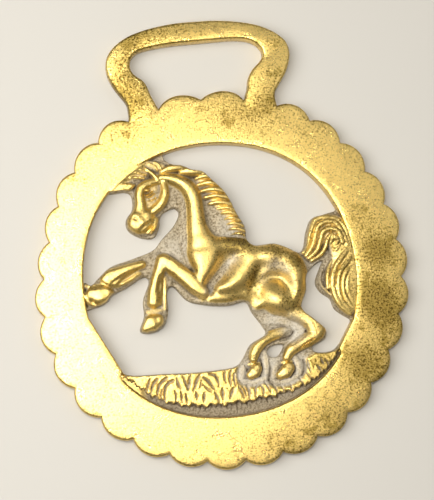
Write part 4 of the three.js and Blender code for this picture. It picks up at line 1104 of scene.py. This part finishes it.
# %% Where the cast skin, dried polish, grime and painted shade show
crumb_tops = add_node(tree, "MapRange", {"Value": crumbs, "From Min": 0.36, "From Max": 0.58}, **SOFTLY)
skin = add_node(tree, "Mix", {0: crumb_tops, 6: CAST_SKIN_DARK, 7: CAST_SKIN}, output=2, data_type="RGBA")
skin_share = add_node(tree, "Math", {0: low, 1: 0.9}, **TIMES)
crumbling = {"Value": crumbs, "From Min": 0.3, "From Max": 0.5, "To Min": 0.35, "To Max": 0.85}
crumbly = add_node(tree, "MapRange", crumbling, **SOFTLY)
crust_share = add_node(tree, "Math", {0: crust, 1: crumbly}, **TIMES)
graining = {"Value": grain, "From Min": 0.25, "From Max": 0.6, "To Min": 0.7, "To Max": 1.0}
grainy = add_node(tree, "MapRange", graining, **SOFTLY)
# Grime, and with it painted shade in hollows, the channel and on steep walls.
dirt_and_shade_share = add_node(tree, "Math", {0: dirt_and_shade, 1: grainy}, **TIMES)
print("nodes so far:", len(tree.nodes))

# %% Lay the colours over each other
# The tarnish and grime layers also lay painted shade over the metal.
layers = (
    (tarnish_and_shade_share, TARNISH_AND_SHADE_OLIVE), (speck_share, TARNISH_AND_SHADE_OLIVE), (pit_share, GRIME_AND_SHADE_BROWN),
    (skin_share, skin), (crust_share, DRIED), (dirt_and_shade_share, GRIME_AND_SHADE_BROWN),
)
colour = POLISHED
for share, over in layers:
    colour = add_node(tree, "Mix", {0: share, 6: colour, 7: over}, output=2, data_type="RGBA")
print(len(layers), "layers over the polished metal")

# %% Roughness, metal and bumps
roughness_range = {"Value": clouds, "From Min": 0.3, "From Max": 0.7, "To Min": 0.26, "To Max": 0.32}
roughness = add_node(tree, "MapRange", roughness_range, **SOFTLY)
for share, amount in ((low, 0.3), (relief_share, 0.07), (tarnish_and_shade_level, 0.15)):
    roughness = add_node(tree, "Math", {0: share, 1: amount, 2: roughness}, **TIMES_PLUS)
# Grime with its painted shade, and the low places with their skin and crust, cover the metal, so less of it
# shines through there.
metal = 1.0
for share, amount in ((dirt_and_shade, -0.4), (low, -0.55)):
    metal = add_node(tree, "Math", {0: share, 1: amount, 2: metal}, **TIMES_PLUS)
bumps = add_node(tree, "Math", {0: grain, 1: 0.55}, **TIMES)
bumps = add_node(tree, "Math", {0: specks, 1: 0.3, 2: bumps}, **TIMES_PLUS)
rough_skin = add_node(tree, "Math", {0: crumbs, 1: low}, **TIMES)
bumps = add_node(tree, "Math", {0: rough_skin, 1: 1.7, 2: bumps}, operation="MULTIPLY_ADD")
normal = add_node(tree, "Bump", {"Height": bumps, "Strength": 0.8, "Distance": 0.14 * MM})
surface = {"Base Color": colour, "Roughness": roughness, "Metallic": metal, "Normal": normal}
shader = add_node(tree, "BsdfPrincipled", surface)
add_node(tree, "OutputMaterial", {"Surface": shader})
brass.data.materials.clear()
brass.data.materials.append(cast_brass)
print("the brass material has", len(tree.nodes), "nodes")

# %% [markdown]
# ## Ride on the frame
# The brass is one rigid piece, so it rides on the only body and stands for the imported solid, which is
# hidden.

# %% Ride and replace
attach(brass, "root")
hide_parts("horse_brass")

# %% [markdown]
# ## Floor, light and camera
# The brass lies flat on a pale floor. A polished metal shows what it mirrors, so the light matters as
# much as the material: a small warm lamp close to the camera gives the bright highlight on the ring's
# left side, a large one on the left models the relief, and a weak one fills the far side.

# %% A pale floor
floor_mesh = bpy.data.meshes.new("floor")
bm = bmesh.new()
bmesh.ops.create_grid(bm, x_segments=1, y_segments=1, size=1.5)
bmesh.ops.translate(bm, verts=bm.verts, vec=(0, 0, cad_low.z))
bm.to_mesh(floor_mesh)
bm.free()
floor = bpy.data.objects.new("floor", floor_mesh)
bpy.context.scene.collection.objects.link(floor)
# Matt, uncoated paper scatters light evenly, so the floor shows soft shadows and no gleam.
paper = bpy.data.materials.new("pale_paper")
paper.use_nodes = True
paper_inputs = paper.node_tree.nodes["Principled BSDF"].inputs
paper_inputs["Base Color"].default_value = linear("#C2BFB8")
paper_inputs["Roughness"].default_value = 0.9
floor_mesh.materials.append(paper)
print("the floor is at", cad_low.z, "m")

# %% Camera
AIM = Vector((-0.6, 5.6, 3)) * MM
CAMERA_PLACE = Vector((-41.4, -25.7, 298.2)) * MM
TURN = math.radians(7.2)  # the brass lies turned this much to the left
camera_data = bpy.data.cameras.new("camera")
camera_data.lens = 108
camera_data.sensor_width = 36
camera_data.clip_start = 0.01
camera = bpy.data.objects.new("camera", camera_data)
bpy.context.scene.collection.objects.link(camera)
forward = (AIM - CAMERA_PLACE).normalized()
side = forward.cross(Vector((math.sin(TURN), math.cos(TURN), 0))).normalized()
axes = Matrix((side, side.cross(forward), -forward)).transposed()
camera.matrix_world = Matrix.Translation(CAMERA_PLACE) @ axes.to_4x4()
bpy.context.scene.camera = camera
print("the camera is", round((AIM - CAMERA_PLACE).length / MM), "mm from the brass")


# %% Lamps
def area_lamp(name, place_mm, size_mm, power, colour="#FFFFFF"):
    """A square soft lamp that faces the brass."""
    data = bpy.data.lights.new(name, "AREA")
    data.size, data.energy, data.color = size_mm * MM, power, linear(colour)[:3]
    lamp = bpy.data.objects.new(name, data)
    bpy.context.scene.collection.objects.link(lamp)
    start = Vector(place_mm) * MM
    turn = (AIM - start).to_track_quat("-Z", "Y")
    lamp.matrix_world = Matrix.Translation(start) @ turn.to_matrix().to_4x4()


area_lamp("key_lamp", (-38, 16, 300), 50, 0.48, "#FFF8EC")
area_lamp("fill_lamp", (260, 160, 380), 320, 0.25)
area_lamp("side_lamp", (-270, 40, 340), 360, 2.0)
world = bpy.data.worlds.new("studio")
world.use_nodes = True
sky = world.node_tree.nodes["Background"].inputs
sky["Color"].default_value = linear("#E8E4DC")
sky["Strength"].default_value = 0.24
bpy.context.scene.world = world
bpy.context.scene.view_settings.view_transform = "Standard"
